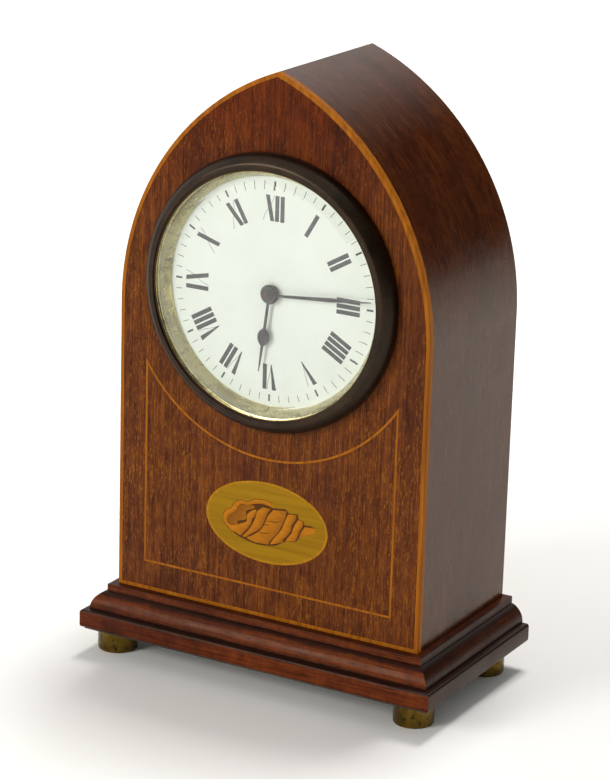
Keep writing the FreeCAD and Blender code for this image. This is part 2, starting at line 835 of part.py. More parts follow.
# ---------------------------------------------------------------- bezel, glass and dial
def build_dial():
    crest = -s.bezel_height
    lip_front = s.bezel_lip_step - s.bezel_height
    lip_back = lip_front + s.bezel_lip_thickness
    bezel_radius = SLEEVE_RADIUS + s.bezel_flange
    bezel = turned([
        (bezel_radius, FRONT, s.bezel_round, 1),
        (bezel_radius - s.bezel_fall, depth(crest)),
        (SLEEVE_RADIUS + s.bezel_crest * 2, depth(crest)),
        (SLEEVE_RADIUS + s.bezel_crest, depth(lip_front)),
        (GLASS_RADIUS - s.bezel_lip, depth(lip_front)),
        (GLASS_RADIUS - s.bezel_lip, depth(lip_back)),
        (GLASS_REBATE, depth(lip_back)),
        (GLASS_REBATE, depth(s.sight_wall - s.glass_back)),
        (BEZEL_BORE, depth(s.dial_depth - s.sight_wall * 2)),
        (BEZEL_BORE, depth(s.sleeve_length)),
        (SLEEVE_RADIUS, depth(s.sleeve_length)),
        (SLEEVE_RADIUS, FRONT),
    ])
    hole = s.screw_radius + s.screw_clearance
    reach = s.screw_bite + s.screw_clearance * 4
    holes = [circle(*spot, hole) for spot in ring_spots(SLEEVE_SCREW_CIRCLE, SLEEVE_SCREW_ANGLES)]
    pocket(bezel, "XZ_Plane", depth(s.sleeve_length - reach), reach, *holes)
    node(place(bezel, z=DIAL_Z), "bezel")

    edge_front = -(s.glass_back + s.glass_edge)
    face = -(s.glass_back + s.glass_thickness)
    glass = turned([
        (ZERO, depth(-s.glass_back)),
        (GLASS_RADIUS, depth(-s.glass_back)),
        (GLASS_RADIUS, depth(edge_front)),
        (GLASS_RADIUS - s.glass_bevel, depth(face)),
        (ZERO, depth(face)),
    ])
    node(place(glass, z=DIAL_Z), "bezel_glass")

    sight_foot = depth(s.dial_depth - s.sight_play)
    sight_top = depth(s.glass_play - s.glass_back)
    sight_inner = s.dial_radius - s.sight_lap
    sight = turned([
        (sight_inner, sight_foot),
        (sight_inner + s.sight_wall, sight_foot),
        (GLASS_RADIUS, sight_top),
        (GLASS_RADIUS - s.sight_wall, sight_top),
    ])
    node(place(sight, z=DIAL_Z), "sight_ring")

    dial_back = s.dial_depth + s.dial_thickness
    dial = turned([
        (s.dial_hole, depth(s.dial_depth)),
        (s.dial_radius - s.dial_chamfer, depth(s.dial_depth)),
        (s.dial_radius, depth(s.dial_depth + s.dial_chamfer)),
        (s.dial_radius, depth(dial_back)),
        (s.dial_hole, depth(dial_back)),
    ])
    node(place(dial, z=DIAL_Z), "dial")
    feet = []
    start = s.dial_depth + s.dial_thickness
    tail = s.front_plate_depth + s.plate_thickness + s.dial_foot_tail - start
    for x, z in ring_spots(DIAL_FOOT_CIRCLE, DIAL_FOOT_ANGLES):
        feet.append(rod(s.dial_foot_radius, start, tail, x, DIAL_Z + z))
    node(grouped(feet), "dial_feet")


SLEEVE_SCREW_ANGLES = (0, 120, 240)
DIAL_FOOT_ANGLES = (90, 270)
TIE_ROD_ANGLES = (90, 270)
PILLAR_ANGLES = (20, 130, 200, 300)
PLATFORM_SCREW_ANGLES = (120, 240, 330)


def ring_spots(radius, angles):
    return [(radius * cosine(angle), radius * sine(angle)) for angle in angles]


def hand(corners, boss, bore, proud, angle, label):
    """A flat steel hand drawn upright and turned to its hour about the dial's centre."""
    body = new_body()
    start = depth(-(proud + s.hand_thickness))
    pad(body, "XZ_Plane", start, s.hand_thickness, circle(ZERO, ZERO, boss))
    pad(body, "XZ_Plane", start, s.hand_thickness, path(corners))
    pocket(body, "XZ_Plane", start, s.hand_thickness, circle(ZERO, ZERO, bore))
    body.Placement = FreeCAD.Placement(Vector(0, 0, 0), Rotation(Vector(0, 1, 0), angle.value))
    bind(body, "Placement.Rotation.Angle", angle)
    node(place(body, z=DIAL_Z), label)


def build_hands():
    stem, tip, length = s.hour_stem, s.hand_tip, s.hour_hand_length
    low, high, bulb = s.hour_bulb_start, s.hour_bulb_end, s.hour_bulb_radius
    root_height = s.hour_boss - s.hand_thickness
    hour = [
        (stem, root_height), (stem, low, bulb, -1), (stem, high), (tip, length),
        (-tip, length), (-stem, high, bulb, -1), (-stem, low), (-stem, root_height),
    ]
    bore = s.hour_pipe_radius + s.pivot_clearance
    hand(hour, s.hour_boss, bore, s.hour_hand_depth, s.hour_angle, "hour_hand")
    stem, swell, length = s.minute_stem, s.minute_swell, s.minute_hand_length
    root_height = s.minute_boss - s.hand_thickness
    minute = [
        (stem, root_height), (swell, s.minute_swell_at), (tip, length),
        (-tip, length), (-swell, s.minute_swell_at), (-stem, root_height),
    ]
    bore = s.hand_seat + s.pivot_clearance
    hand(minute, s.minute_boss, bore, s.minute_hand_depth, s.minute_angle, "minute_hand")
    seat = s.minute_hand_depth + s.hand_thickness
    inner = s.centre_arbor_radius + s.pivot_clearance
    collet = turned([
        (inner, depth(-seat)),
        (s.collet_radius, depth(-seat)),
        (s.collet_radius, depth(-(seat + s.collet_height * 0.5))),
        (s.collet_radius * 0.75, depth(-(seat + s.collet_height))),
        (inner, depth(-(seat + s.collet_height))),
    ])
    node(place(collet, z=DIAL_Z), "hand_collet")


# ---------------------------------------------------------------- toothed wheels
WHEEL_TOOTH = SimpleNamespace(addendum=1.0, dedendum=1.3, root_share=0.25, tip_share=0.08)
PINION_LEAF = SimpleNamespace(addendum=0.6, dedendum=1.5, root_share=0.17, tip_share=0.08)


def ring_point(radius, angle):
    return Vector(radius * math.cos(angle), 0, radius * math.sin(angle))


def closed(points):
    return Part.makePolygon(points + [points[0]])


def toothed(count, module, form, turn):
    """The outline of a toothed wheel with one tooth centred at the angle turn."""
    pitch_radius = module * count / 2
    root_radius = pitch_radius - form.dedendum * module
    tip_radius = pitch_radius + form.addendum * module
    step = 2 * math.pi / count
    points = []
    for number in range(count):
        middle = turn + number * step
        for radius, share in (
            (root_radius, -form.root_share), (tip_radius, -form.tip_share),
            (tip_radius, form.tip_share), (root_radius, form.root_share),
        ):
            points.append(ring_point(radius, middle + share * step))
    return closed(points), root_radius


def window(inner, outer, spoke, middle, spread):
    """The opening between two spokes, as a wire of two arcs and two straight sides."""
    near = spread / 2 - spoke / 2 / inner
    far = spread / 2 - spoke / 2 / outer
    a, b = ring_point(inner, middle - near), ring_point(inner, middle + near)
    c, d = ring_point(outer, middle + far), ring_point(outer, middle - far)
    return Part.Wire([
        Part.Arc(a, ring_point(inner, middle), b).toShape(),
        Part.LineSegment(b, c).toShape(),
        Part.Arc(c, ring_point(outer, middle), d).toShape(),
        Part.LineSegment(d, a).toShape(),
    ])


def wheel(arbor, count, module, start, thickness, hub, spokes=4):
    """A crossed-out wheel at its arbor, starting this far behind the front face."""
    outline, root_radius = toothed(int(count.value), module.value, WHEEL_TOOTH, arbor.turn)
    across = Vector(0, thickness.value, 0)
    disc = Part.Face(outline).extrude(across)
    spread = 2 * math.pi / spokes
    for number in range(spokes):
        middle = arbor.turn + (number + 0.5) * spread
        opening = window(hub.value, root_radius - s.rim_width.value, s.spoke_width.value, middle, spread)
        disc = disc.cut(Part.Face(opening).extrude(across))
    return at_arbor(formed(disc, "Wheel"), arbor, start)


def pinion(arbor, turn, count, module, start, thickness):
    """The leaves of a pinion, which is fused with its arbor."""
    outline, root_radius = toothed(int(count.value), module.value, PINION_LEAF, turn)
    leaves = Part.Face(outline).extrude(Vector(0, thickness.value, 0))
    return at_arbor(formed(leaves, "Pinion"), arbor, start)


def at_arbor(item, arbor, start):
    spot = Vector(arbor.x, depth(start).value, DIAL_Z.value + arbor.z)
    item.Placement = FreeCAD.Placement(spot, Rotation())
    return item


def arbor_at(x, z):
    return SimpleNamespace(x=x, z=z, turn=0.0, pinion_turn=0.0)


def meshing_turn(driver, driver_turn, driver_teeth, follower, follower_teeth):
    """The turn that puts a gap of the follower where the driver's tooth would meet it."""
    line = math.atan2(follower.z - driver.z, follower.x - driver.x)
    share = ((line - driver_turn) * driver_teeth / (2 * math.pi)) % 1
    return line + math.pi - 2 * math.pi / follower_teeth * (0.5 - share)


def crossing(first, first_reach, second, second_reach, side):
    """Where two arcs struck from two arbors cross, to the left (1) or right (-1)."""
    dx, dz = second.x - first.x, second.z - first.z
    apart = math.hypot(dx, dz)
    along = (first_reach**2 - second_reach**2 + apart**2) / (2 * apart)
    aside = math.sqrt(first_reach**2 - along**2) * side
    return arbor_at(first.x + (dx * along - dz * aside) / apart, first.z + (dz * along + dx * aside) / apart)


def reach(module, first, second):
    return module.value * (first.value + second.value) / 2


def lay_out_train():
    """Places every arbor from its tooth counts and turns each wheel into mesh."""
    centre = arbor_at(0.0, 0.0)
    angle = math.radians(s.barrel_angle.value)
    distance = s.barrel_distance.value
    barrel = arbor_at(distance * math.cos(angle), distance * math.sin(angle))
    drive_reach = reach(s.barrel_module, s.barrel_teeth, s.drive_pinion_teeth)
    centre_reach = reach(s.drive_module, s.drive_wheel_teeth, s.centre_pinion_teeth)
    drive = crossing(centre, centre_reach, barrel, drive_reach, -1)
    escape = arbor_at(s.escape_offset.value, s.platform_height.value)
    angle = math.radians(s.fourth_angle.value)
    distance = reach(s.fourth_module, s.fourth_wheel_teeth, s.escape_pinion_teeth)
    fourth = arbor_at(escape.x + distance * math.cos(angle), escape.z + distance * math.sin(angle))
    third_reach = reach(s.centre_module, s.centre_wheel_teeth, s.third_pinion_teeth)
    fourth_reach = reach(s.third_module, s.third_wheel_teeth, s.fourth_pinion_teeth)
    third = crossing(centre, third_reach, fourth, fourth_reach, -1)
    angle = math.radians(s.minute_wheel_angle.value)
    distance = reach(s.cannon_module, s.cannon_teeth, s.minute_wheel_teeth)
    minute = arbor_at(distance * math.cos(angle), distance * math.sin(angle))

    def mesh(driver, driver_turn, driver_teeth, follower, follower_teeth):
        return meshing_turn(driver, driver_turn, driver_teeth.value, follower, follower_teeth.value)

    drive.pinion_turn = mesh(barrel, barrel.turn, s.barrel_teeth, drive, s.drive_pinion_teeth)
    centre.pinion_turn = mesh(drive, drive.turn, s.drive_wheel_teeth, centre, s.centre_pinion_teeth)
    third.pinion_turn = mesh(centre, centre.turn, s.centre_wheel_teeth, third, s.third_pinion_teeth)
    fourth.pinion_turn = mesh(third, third.turn, s.third_wheel_teeth, fourth, s.fourth_pinion_teeth)
    escape.pinion_turn = mesh(fourth, fourth.turn, s.fourth_wheel_teeth, escape, s.escape_pinion_teeth)
    minute.turn = mesh(centre, centre.turn, s.cannon_teeth, minute, s.minute_wheel_teeth)
    hour = arbor_at(0.0, 0.0)
    hour.turn = mesh(minute, minute.turn, s.minute_pinion_teeth, hour, s.hour_wheel_teeth)
    return SimpleNamespace(
        centre=centre, barrel=barrel, drive=drive, third=third, fourth=fourth,
        escape=escape, minute=minute, hour=hour,
    )


train = lay_out_train()
BETWEEN = s.front_plate_depth + s.plate_thickness
ROUND_END = 1.05


def on(arbor):
    """The arbor's place across the case, for rods and holes."""
    return Size.of(arbor.x), DIAL_Z + arbor.z


def arbor_rods(arbor, radius, back):
    """A plain arbor with a pivot at each end; back is where the rear pivot ends."""
    x, z = on(arbor)
    play = s.pivot_clearance * 4
    shoulder = back - s.plate_thickness - play
    body = rod(radius, BETWEEN + play, shoulder - BETWEEN - play, x, z)
    tip = s.front_plate_depth + play / 2
    pivots = rod(s.pivot_radius, tip, back - play / 2 - tip, x, z)
    return [body, pivots]


def build_train():
    thick = s.wheel_thickness
    hub = s.train_arbor_radius + s.spoke_width
    wide = thick * 2

    x, z = on(train.centre)
    nose = s.minute_hand_depth + s.hand_thickness + s.collet_height + s.hand_thickness
    node(fused([
        rod(s.centre_arbor_radius, -nose, nose + s.knob_depth + s.knob_length, x, z),
        wheel(train.centre, s.centre_wheel_teeth, s.centre_module, s.centre_wheel_depth, thick, hub * 2),
        pinion(train.centre, train.centre.pinion_turn, s.centre_pinion_teeth, s.drive_module,
               s.drive_wheel_depth - thick / 2, wide),
    ]), "centre_wheel")

    node(fused(arbor_rods(train.drive, s.train_arbor_radius, MOVEMENT_BACK) + [
        wheel(train.drive, s.drive_wheel_teeth, s.drive_module, s.drive_wheel_depth, thick, hub * 2),
        pinion(train.drive, train.drive.pinion_turn, s.drive_pinion_teeth, s.barrel_module,
               s.barrel_depth - s.drive_clearance, s.barrel_rim + s.drive_clearance * 2),
    ]), "intermediate_wheel")

    node(fused(arbor_rods(train.third, s.train_arbor_radius, MOVEMENT_BACK) + [
        wheel(train.third, s.third_wheel_teeth, s.third_module, s.third_wheel_depth, thick, hub),
        pinion(train.third, train.third.pinion_turn, s.third_pinion_teeth, s.centre_module,
               s.centre_wheel_depth - s.drive_clearance, thick + s.drive_clearance * 2),
    ]), "third_wheel")

    fourth_thick = s.motion_thickness
    node(fused(arbor_rods(train.fourth, s.train_arbor_radius, MOVEMENT_BACK) + [
        wheel(train.fourth, s.fourth_wheel_teeth, s.fourth_module, s.fourth_wheel_depth, fourth_thick, hub),
        pinion(train.fourth, train.fourth.pinion_turn, s.fourth_pinion_teeth, s.third_module,
               s.third_wheel_depth - thick / 2, wide),
    ]), "fourth_wheel")


def build_motion_work():
    thick = s.motion_thickness
    centre, hour, minute = train.centre, train.hour, train.minute
    x, z = on(centre)

    pipe_back = s.minute_wheel_depth + thick * 1.5
    seat_front = -(s.minute_hand_depth + s.hand_thickness)
    shoulder = -s.minute_hand_depth
    bore = s.centre_arbor_radius + s.pivot_clearance
    cannon = fused([
        rod(s.cannon_pipe_radius, shoulder, pipe_back - shoulder, x, z),
        rod(s.hand_seat, seat_front, pipe_back - seat_front, x, z),
        pinion(centre, centre.turn, s.cannon_teeth, s.cannon_module, s.minute_wheel_depth - thick / 4,
               thick * 1.5),
    ])
    node(cut(cannon, [rod(bore, seat_front - thick, pipe_back - seat_front + thick * 2, x, z)]), "cannon_pinion")

    stud_hole = s.train_arbor_radius + s.pivot_clearance
    stud_x, stud_z = on(minute)
    leaves_front = s.dial_depth + s.dial_thickness + thick
    minute_wheel = fused([
        wheel(minute, s.minute_wheel_teeth, s.cannon_module, s.minute_wheel_depth, thick, stud_hole + s.rim_width),
        pinion(minute, minute.turn, s.minute_pinion_teeth, s.hour_module, leaves_front,
               s.minute_wheel_depth - leaves_front),
    ])
    hole = rod(stud_hole, leaves_front - thick, s.minute_wheel_depth + thick * 3 - leaves_front, stud_x, stud_z)
    node(cut(minute_wheel, [hole]), "minute_wheel")

    pipe_front = -(s.hour_hand_depth + s.hand_thickness)
    inner = s.cannon_pipe_radius + s.pipe_clearance
    pipe_length = s.hour_wheel_depth + thick - pipe_front
    hour_wheel = fused([
        rod(s.hour_pipe_radius, pipe_front, pipe_length, x, z),
        wheel(hour, s.hour_wheel_teeth, s.hour_module, s.hour_wheel_depth, thick, s.hour_pipe_radius + thick),
    ])
    node(cut(hour_wheel, [rod(inner, pipe_front - thick, pipe_length + thick * 2, x, z)]), "hour_wheel")


# ---------------------------------------------------------------- plates and pillars
def build_plates():
    clearance = s.pivot_clearance
    screw_hole = s.screw_radius + s.screw_clearance
    arbors = [(train.centre, s.centre_arbor_radius + clearance), (train.barrel, s.barrel_arbor_radius + clearance)]
    arbors += [(arbor, s.pivot_radius + clearance) for arbor in (train.drive, train.third, train.fourth)]
    pivots = [circle(Size.of(arbor.x), Size.of(arbor.z), radius) for arbor, radius in arbors]

    plate = new_body()
    start, thick = s.front_plate_depth, s.plate_thickness
    pad(plate, "XZ_Plane", depth(start), thick, circle(ZERO, ZERO, FRONT_PLATE_RADIUS))
    stud = circle(Size.of(train.minute.x), Size.of(train.minute.z), s.train_arbor_radius)
    stud_front = s.dial_depth + s.dial_thickness + s.motion_thickness / 2
    pad(plate, "XZ_Plane", depth(stud_front), start - stud_front, stud)
    holes = [circle(*spot, screw_hole) for spot in ring_spots(SLEEVE_SCREW_CIRCLE, SLEEVE_SCREW_ANGLES)]
    foot_hole = s.dial_foot_radius + s.screw_clearance
    holes += [circle(*spot, foot_hole) for spot in ring_spots(DIAL_FOOT_CIRCLE, DIAL_FOOT_ANGLES)]
    escape = circle(Size.of(train.escape.x), Size.of(train.escape.z), s.pivot_radius + clearance)
    pocket(plate, "XZ_Plane", depth(start), thick, *pivots, *holes, escape)
    node(place(plate, z=DIAL_Z), "front_plate")

    plate = new_body()
    pad(plate, "XZ_Plane", depth(BACK_PLATE), thick, circle(ZERO, ZERO, s.back_plate_radius))
    window_hole = circle(Size.of(train.escape.x), Size.of(train.escape.z), s.escape_window)
    holes = [circle(*spot, screw_hole) for spot in ring_spots(s.pillar_circle, PILLAR_ANGLES)]
    holes += [circle(*spot, screw_hole) for spot in platform_screws() + click_screws()]
    pocket(plate, "XZ_Plane", depth(BACK_PLATE), thick, *pivots, *holes, window_hole)
    node(place(plate, z=DIAL_Z), "back_plate")

    pillars = []
    reach = s.screw_bite + clearance * 4
    for x, z in ring_spots(s.pillar_circle, PILLAR_ANGLES):
        pillar = rod(s.pillar_radius, BETWEEN, s.plate_gap, x, DIAL_Z + z)
        pillars.append(cut(pillar, [rod(screw_hole, BACK_PLATE - reach, reach, x, DIAL_Z + z)]))
    node(grouped(pillars), "pillars")


def platform_screws():
    spots = ring_spots(s.platform_radius - s.platform_screw_inset, PLATFORM_SCREW_ANGLES)
    return [(x + s.platform_offset, z + s.platform_height) for x, z in spots]


def click_place():
    """The click's pivot, beside the ratchet wheel."""
    x = s.barrel_distance * cosine(s.barrel_angle) + s.click_distance * cosine(s.click_pivot_angle)
    z = s.barrel_distance * sine(s.barrel_angle) + s.click_distance * sine(s.click_pivot_angle)
    return x, z


def click_spring_place():
    x, z = click_place()
    return x + s.click_spring_foot_x, z + s.click_spring_foot_z


def click_screws():
    return [click_place(), click_spring_place()]


def screw(start, grip, x, z):
    """A cheese-headed screw: its head seats at start and its shank runs forward from it."""
    head = rod(s.screw_head_radius, start, s.screw_head_height, x, z)
    shank = rod(s.screw_radius, start - grip, grip, x, z)
    return fused([head, shank])


def build_screws():
    screws = []
    sleeve_grip = s.plate_thickness + s.screw_bite
    for x, z in ring_spots(SLEEVE_SCREW_CIRCLE, SLEEVE_SCREW_ANGLES):
        screws.append(screw(BETWEEN, sleeve_grip, x, DIAL_Z + z))
    for x, z in ring_spots(s.pillar_circle, PILLAR_ANGLES):
        screws.append(screw(MOVEMENT_BACK, sleeve_grip, x, DIAL_Z + z))
    for x, z in platform_screws():
        screws.append(screw(PLATFORM_TOP, s.platform_thickness + s.plate_thickness, x, DIAL_Z + z))
    x, z = click_spring_place()
    spring_top = MOVEMENT_BACK + s.ratchet_thickness
    screws.append(screw(spring_top, s.ratchet_thickness + s.plate_thickness, x, DIAL_Z + z))
    x, z = bridge_foot()
    screws.append(screw(MOVEMENT_BACK + s.bridge_level + s.bridge_thickness, s.screw_bite, x, z))
    x, z = cock_foot()
    screws.append(screw(MOVEMENT_BACK + s.cock_level + s.platform_thickness, s.screw_bite, x, z))
    node(grouped(screws), "movement_screws")


# ---------------------------------------------------------------- barrel and winding work
def spiral_strip(inner, outer, turns, strip, height):
    """A flat strip wound in half turns that step outwards; lies in XZ, extruded along Y."""
    halves = int(turns * 2)
    step = (outer - inner - strip) / turns

    def side(offset):
        arcs = []
        centre, radius, way = 0.0, inner + offset, 1
        for number in range(halves):
            start = Vector(centre + radius * way, 0, 0)
            top = Vector(centre, 0, radius * way)
            end = Vector(centre - radius * way, 0, 0)
            arcs.append(Part.Arc(start, top, end).toShape())
            centre += step / 2 * way
            radius += step / 2
            way = -way
        return arcs, Vector(inner + offset, 0, 0), end

    near, near_start, near_end = side(0.0)
    far, far_start, far_end = side(strip)
    ends = [Part.LineSegment(near_end, far_end).toShape(), Part.LineSegment(far_start, near_start).toShape()]
    outline = Part.Wire(Part.__sortEdges__(near + far + ends))
    return Part.Face(outline).extrude(Vector(0, height, 0))


def build_barrel():
    x, z = on(train.barrel)
    bore = s.barrel_arbor_radius + s.pivot_clearance
    start, rim, wall = s.barrel_depth, s.barrel_rim, s.barrel_wall
    outline, root_radius = toothed(int(s.barrel_teeth.value), s.barrel_module.value, WHEEL_TOOTH, train.barrel.turn)
    teeth = at_arbor(formed(Part.Face(outline).extrude(Vector(0, rim.value, 0)), "Rim"), train.barrel, start)
    drum = fused([teeth, rod(s.barrel_radius, start, s.barrel_length, x, z)])
    hollow = rod(s.barrel_radius - wall, start + wall, s.barrel_length, x, z)
    node(cut(drum, [hollow, rod(bore, start - wall, s.barrel_length, x, z)]), "barrel")

    cover_start = start + s.barrel_length - wall
    cover = rod(s.barrel_radius - wall - s.pivot_clearance, cover_start, wall, x, z)
    node(cut(cover, [rod(bore, cover_start - wall, wall * 3, x, z)]), "barrel_cover")

    inside = start + wall + s.spring_clearance
    room = s.barrel_length - wall * 2 - s.spring_clearance * 2
    inner = s.barrel_core_radius + s.spring_clearance
    outer = s.barrel_radius - wall - s.spring_clearance
    coil = spiral_strip(inner.value, outer.value, s.spring_turns.value, s.spring_strip.value, room.value)
    node(at_arbor(formed(coil, "Mainspring"), train.barrel, inside), "mainspring")

    front = s.front_plate_depth + s.pivot_clearance
    square_start = MOVEMENT_BACK + s.ratchet_thickness + s.pivot_clearance * 4
    square = doc.addObject("Part::Box", "Square")
    bind(square, "Length", s.winding_square)
    bind(square, "Width", s.winding_length)
    bind(square, "Height", s.winding_square)
    place(square, x - s.winding_square / 2, depth(square_start), z - s.winding_square / 2)
    core = rod(s.barrel_core_radius, inside, room, x, z)
    shaft = rod(s.barrel_arbor_radius, front, square_start - front, x, z)
    node(fused([shaft, core, square]), "barrel_arbor")

    count, radius = int(s.ratchet_teeth.value), s.ratchet_radius.value
    step = 2 * math.pi / count
    points = []
    for number in range(count):
        angle = number * step
        points.append(ring_point(radius - s.ratchet_tooth.value, angle))
        points.append(ring_point(radius, angle))
    saw = Part.Face(closed(points)).extrude(Vector(0, s.ratchet_thickness.value, 0))
    level = MOVEMENT_BACK + s.pivot_clearance * 2
    ratchet = at_arbor(formed(saw, "Saw"), train.barrel, level)
    hole = rod(s.barrel_arbor_radius + s.pivot_clearance / 2, level - wall, s.ratchet_thickness + wall * 2, x, z)
    node(cut(ratchet, [hole]), "ratchet_wheel")
    build_click(level)


def build_click(level):
    pivot_x, pivot_z = click_place()
    reach = s.ratchet_radius + s.click_clearance
    tip_x = s.barrel_distance * cosine(s.barrel_angle) + reach * cosine(s.click_tip_angle)
    tip_z = s.barrel_distance * sine(s.barrel_angle) + reach * sine(s.click_tip_angle)
    width = s.click_width
    out_x, out_z = width * cosine(s.click_slant), width * sine(s.click_slant)
    body = new_body()
    start = depth(level)
    near_x, near_z = pivot_x - out_x / 4, pivot_z - out_z / 4
    pad(body, "XZ_Plane", start, s.ratchet_thickness, circle(pivot_x, pivot_z, s.click_boss))
    arm = [
        (tip_x, tip_z), (near_x, near_z),
        (near_x + out_x, near_z + out_z), (tip_x + out_x * 0.6, tip_z + out_z * 0.6),
    ]
    pad(body, "XZ_Plane", start, s.ratchet_thickness, path(arm))
    hole = s.screw_radius + s.screw_clearance
    pocket(body, "XZ_Plane", start, s.ratchet_thickness, circle(pivot_x, pivot_z, hole))
    node(place(body, z=DIAL_Z), "click")

    top = level + s.ratchet_thickness + s.pivot_clearance * 2
    head = rod(s.screw_head_radius, top, s.screw_head_height, pivot_x, DIAL_Z + pivot_z)
    shank = rod(s.screw_radius, BACK_PLATE, top - BACK_PLATE, pivot_x, DIAL_Z + pivot_z)
    node(fused([head, shank]), "click_screw")

    foot_x, foot_z = click_spring_place()
    strip = s.click_spring_strip
    gap = s.click_spring_gap
    end_x, end_z = tip_x + out_x * 0.6 + gap * cosine(s.click_slant), tip_z + out_z * 0.6 + gap * sine(s.click_slant)
    spring = new_body()
    start = depth(MOVEMENT_BACK)
    pad(spring, "XZ_Plane", start, s.ratchet_thickness, circle(foot_x, foot_z, s.click_boss))
    blade = [
        (end_x, end_z), (end_x + strip * cosine(s.click_slant), end_z + strip * sine(s.click_slant)),
        (foot_x + strip, foot_z), (foot_x, foot_z),
    ]
    lift = s.pivot_clearance * 2
    pad(spring, "XZ_Plane", start + lift, s.ratchet_thickness - lift, path(blade))
    pocket(spring, "XZ_Plane", start, s.ratchet_thickness, circle(foot_x, foot_z, hole))
    node(place(spring, z=DIAL_Z), "click_spring")


def build_knob():
    x, z = on(train.centre)
    count = int(s.knob_flutes.value)
    step = 2 * math.pi / count
    points = []
    for number in range(count):
        points.append(ring_point(s.knob_radius.value, number * step))
        points.append(ring_point(s.knob_radius.value - s.knob_flute.value, (number + 0.5) * step))
    milled = Part.Face(closed(points)).extrude(Vector(0, s.knob_length.value / 2, 0))
    edge = at_arbor(formed(milled, "Milling"), train.centre, s.knob_depth)
    whole = fused([
        edge,
        rod(s.knob_radius / 2, s.knob_depth - s.knob_length / 2, s.knob_length, x, z),
    ])
    bore = s.centre_arbor_radius + s.pivot_clearance / 2
    hole = rod(bore, s.knob_depth - s.knob_length, s.knob_length * 3, x, z)
    node(cut(whole, [hole]), "setting_knob")


# ---------------------------------------------------------------- escapement platform
def bridge_foot():
    return s.bridge_foot_offset, DIAL_Z + s.platform_height


def cock_foot():
    return s.balance_offset, DIAL_Z + s.platform_height + s.cock_reach


def level_of(height):
    """A level on the back plate's outer side, as a depth behind the front face."""
    return MOVEMENT_BACK + height


def build_platform():
    screw_hole = s.screw_radius + s.screw_clearance
    pivot_hole = s.pivot_radius + s.pivot_clearance
    line = s.platform_height
    plate = new_body()
    thick = s.platform_thickness
    disc = circle(s.platform_offset, line, s.platform_radius)
    pad(plate, "XZ_Plane", depth(MOVEMENT_BACK), thick, disc)
    holes = [circle(*spot, screw_hole) for spot in platform_screws()]
    holes.append(circle(s.escape_offset, line, s.escape_window))
    holes += [circle(offset, line, pivot_hole) for offset in (s.lever_offset, s.balance_offset)]
    pocket(plate, "XZ_Plane", depth(MOVEMENT_BACK), thick, *holes)
    node(place(plate, z=DIAL_Z), "escapement_platform")

    # bridge over the escape wheel and the lever
    foot_x, foot_z = bridge_foot()
    top = level_of(s.bridge_level + s.bridge_thickness)
    half = s.bridge_width / 2
    bar = new_body()
    start = depth(level_of(s.bridge_level))
    pad(bar, "XZ_Plane", start, s.bridge_thickness, slot(s.bridge_foot_offset, s.lever_offset, line, half))
    whole = fused([
        place(bar, z=DIAL_Z),
        rod(s.bridge_foot_radius, PLATFORM_TOP, top - PLATFORM_TOP, foot_x, foot_z),
    ])
    bores = [rod(pivot_hole, PLATFORM_TOP, top - PLATFORM_TOP + 1, s.escape_offset, foot_z)]
    bores.append(rod(pivot_hole, PLATFORM_TOP, top - PLATFORM_TOP + 1, s.lever_offset, foot_z))
    reach = s.screw_bite + s.screw_clearance * 4
    bores.append(rod(screw_hole, top - reach, reach + 1, foot_x, foot_z))
    node(cut(whole, bores), "escapement_bridge")


def slot(first, last, height, half):
    """A bar with round ends along u."""
    bend = half * ROUND_END
    return path([
        (first, height - half), (last, height - half, bend, -1),
        (last, height + half), (first, height + half, bend, -1),
    ])


def build_escape_wheel():
    arbor = train.escape
    x, z = on(arbor)
    play = s.pivot_clearance * 4
    start = BETWEEN + play
    back = level_of(s.bridge_level)
    tip = s.front_plate_depth + play / 2
    outline = []
    step = 2 * math.pi / int(s.escape_teeth.value)
    for number in range(int(s.escape_teeth.value)):
        outline.append(ring_point((s.escape_radius - s.escape_tooth).value, number * step))
        outline.append(ring_point(s.escape_radius.value, (number + 0.2) * step))
        outline.append(ring_point(s.escape_radius.value, (number + 0.32) * step))
    across = Vector(0, s.escape_thickness.value, 0)
    disc = Part.Face(closed(outline)).extrude(across)
    spread = 2 * math.pi / 3
    for number in range(3):
        inner, outer = s.escape_radius.value * 0.3, s.escape_radius.value * 0.58
        opening = window(inner, outer, s.escape_thickness.value, number * spread, spread)
        disc = disc.cut(Part.Face(opening).extrude(across))
    node(fused([
        rod(s.staff_radius, start, back - play - start, x, z),
        rod(s.pivot_radius, tip, back + s.bridge_thickness - play / 2 - tip, x, z),
        at_arbor(formed(disc, "Escape"), arbor, level_of(s.escape_level)),
        pinion(arbor, arbor.pinion_turn, s.escape_pinion_teeth, s.fourth_module,
               s.fourth_wheel_depth - s.drive_clearance, s.motion_thickness + s.drive_clearance * 2),
    ]), "escape_wheel")


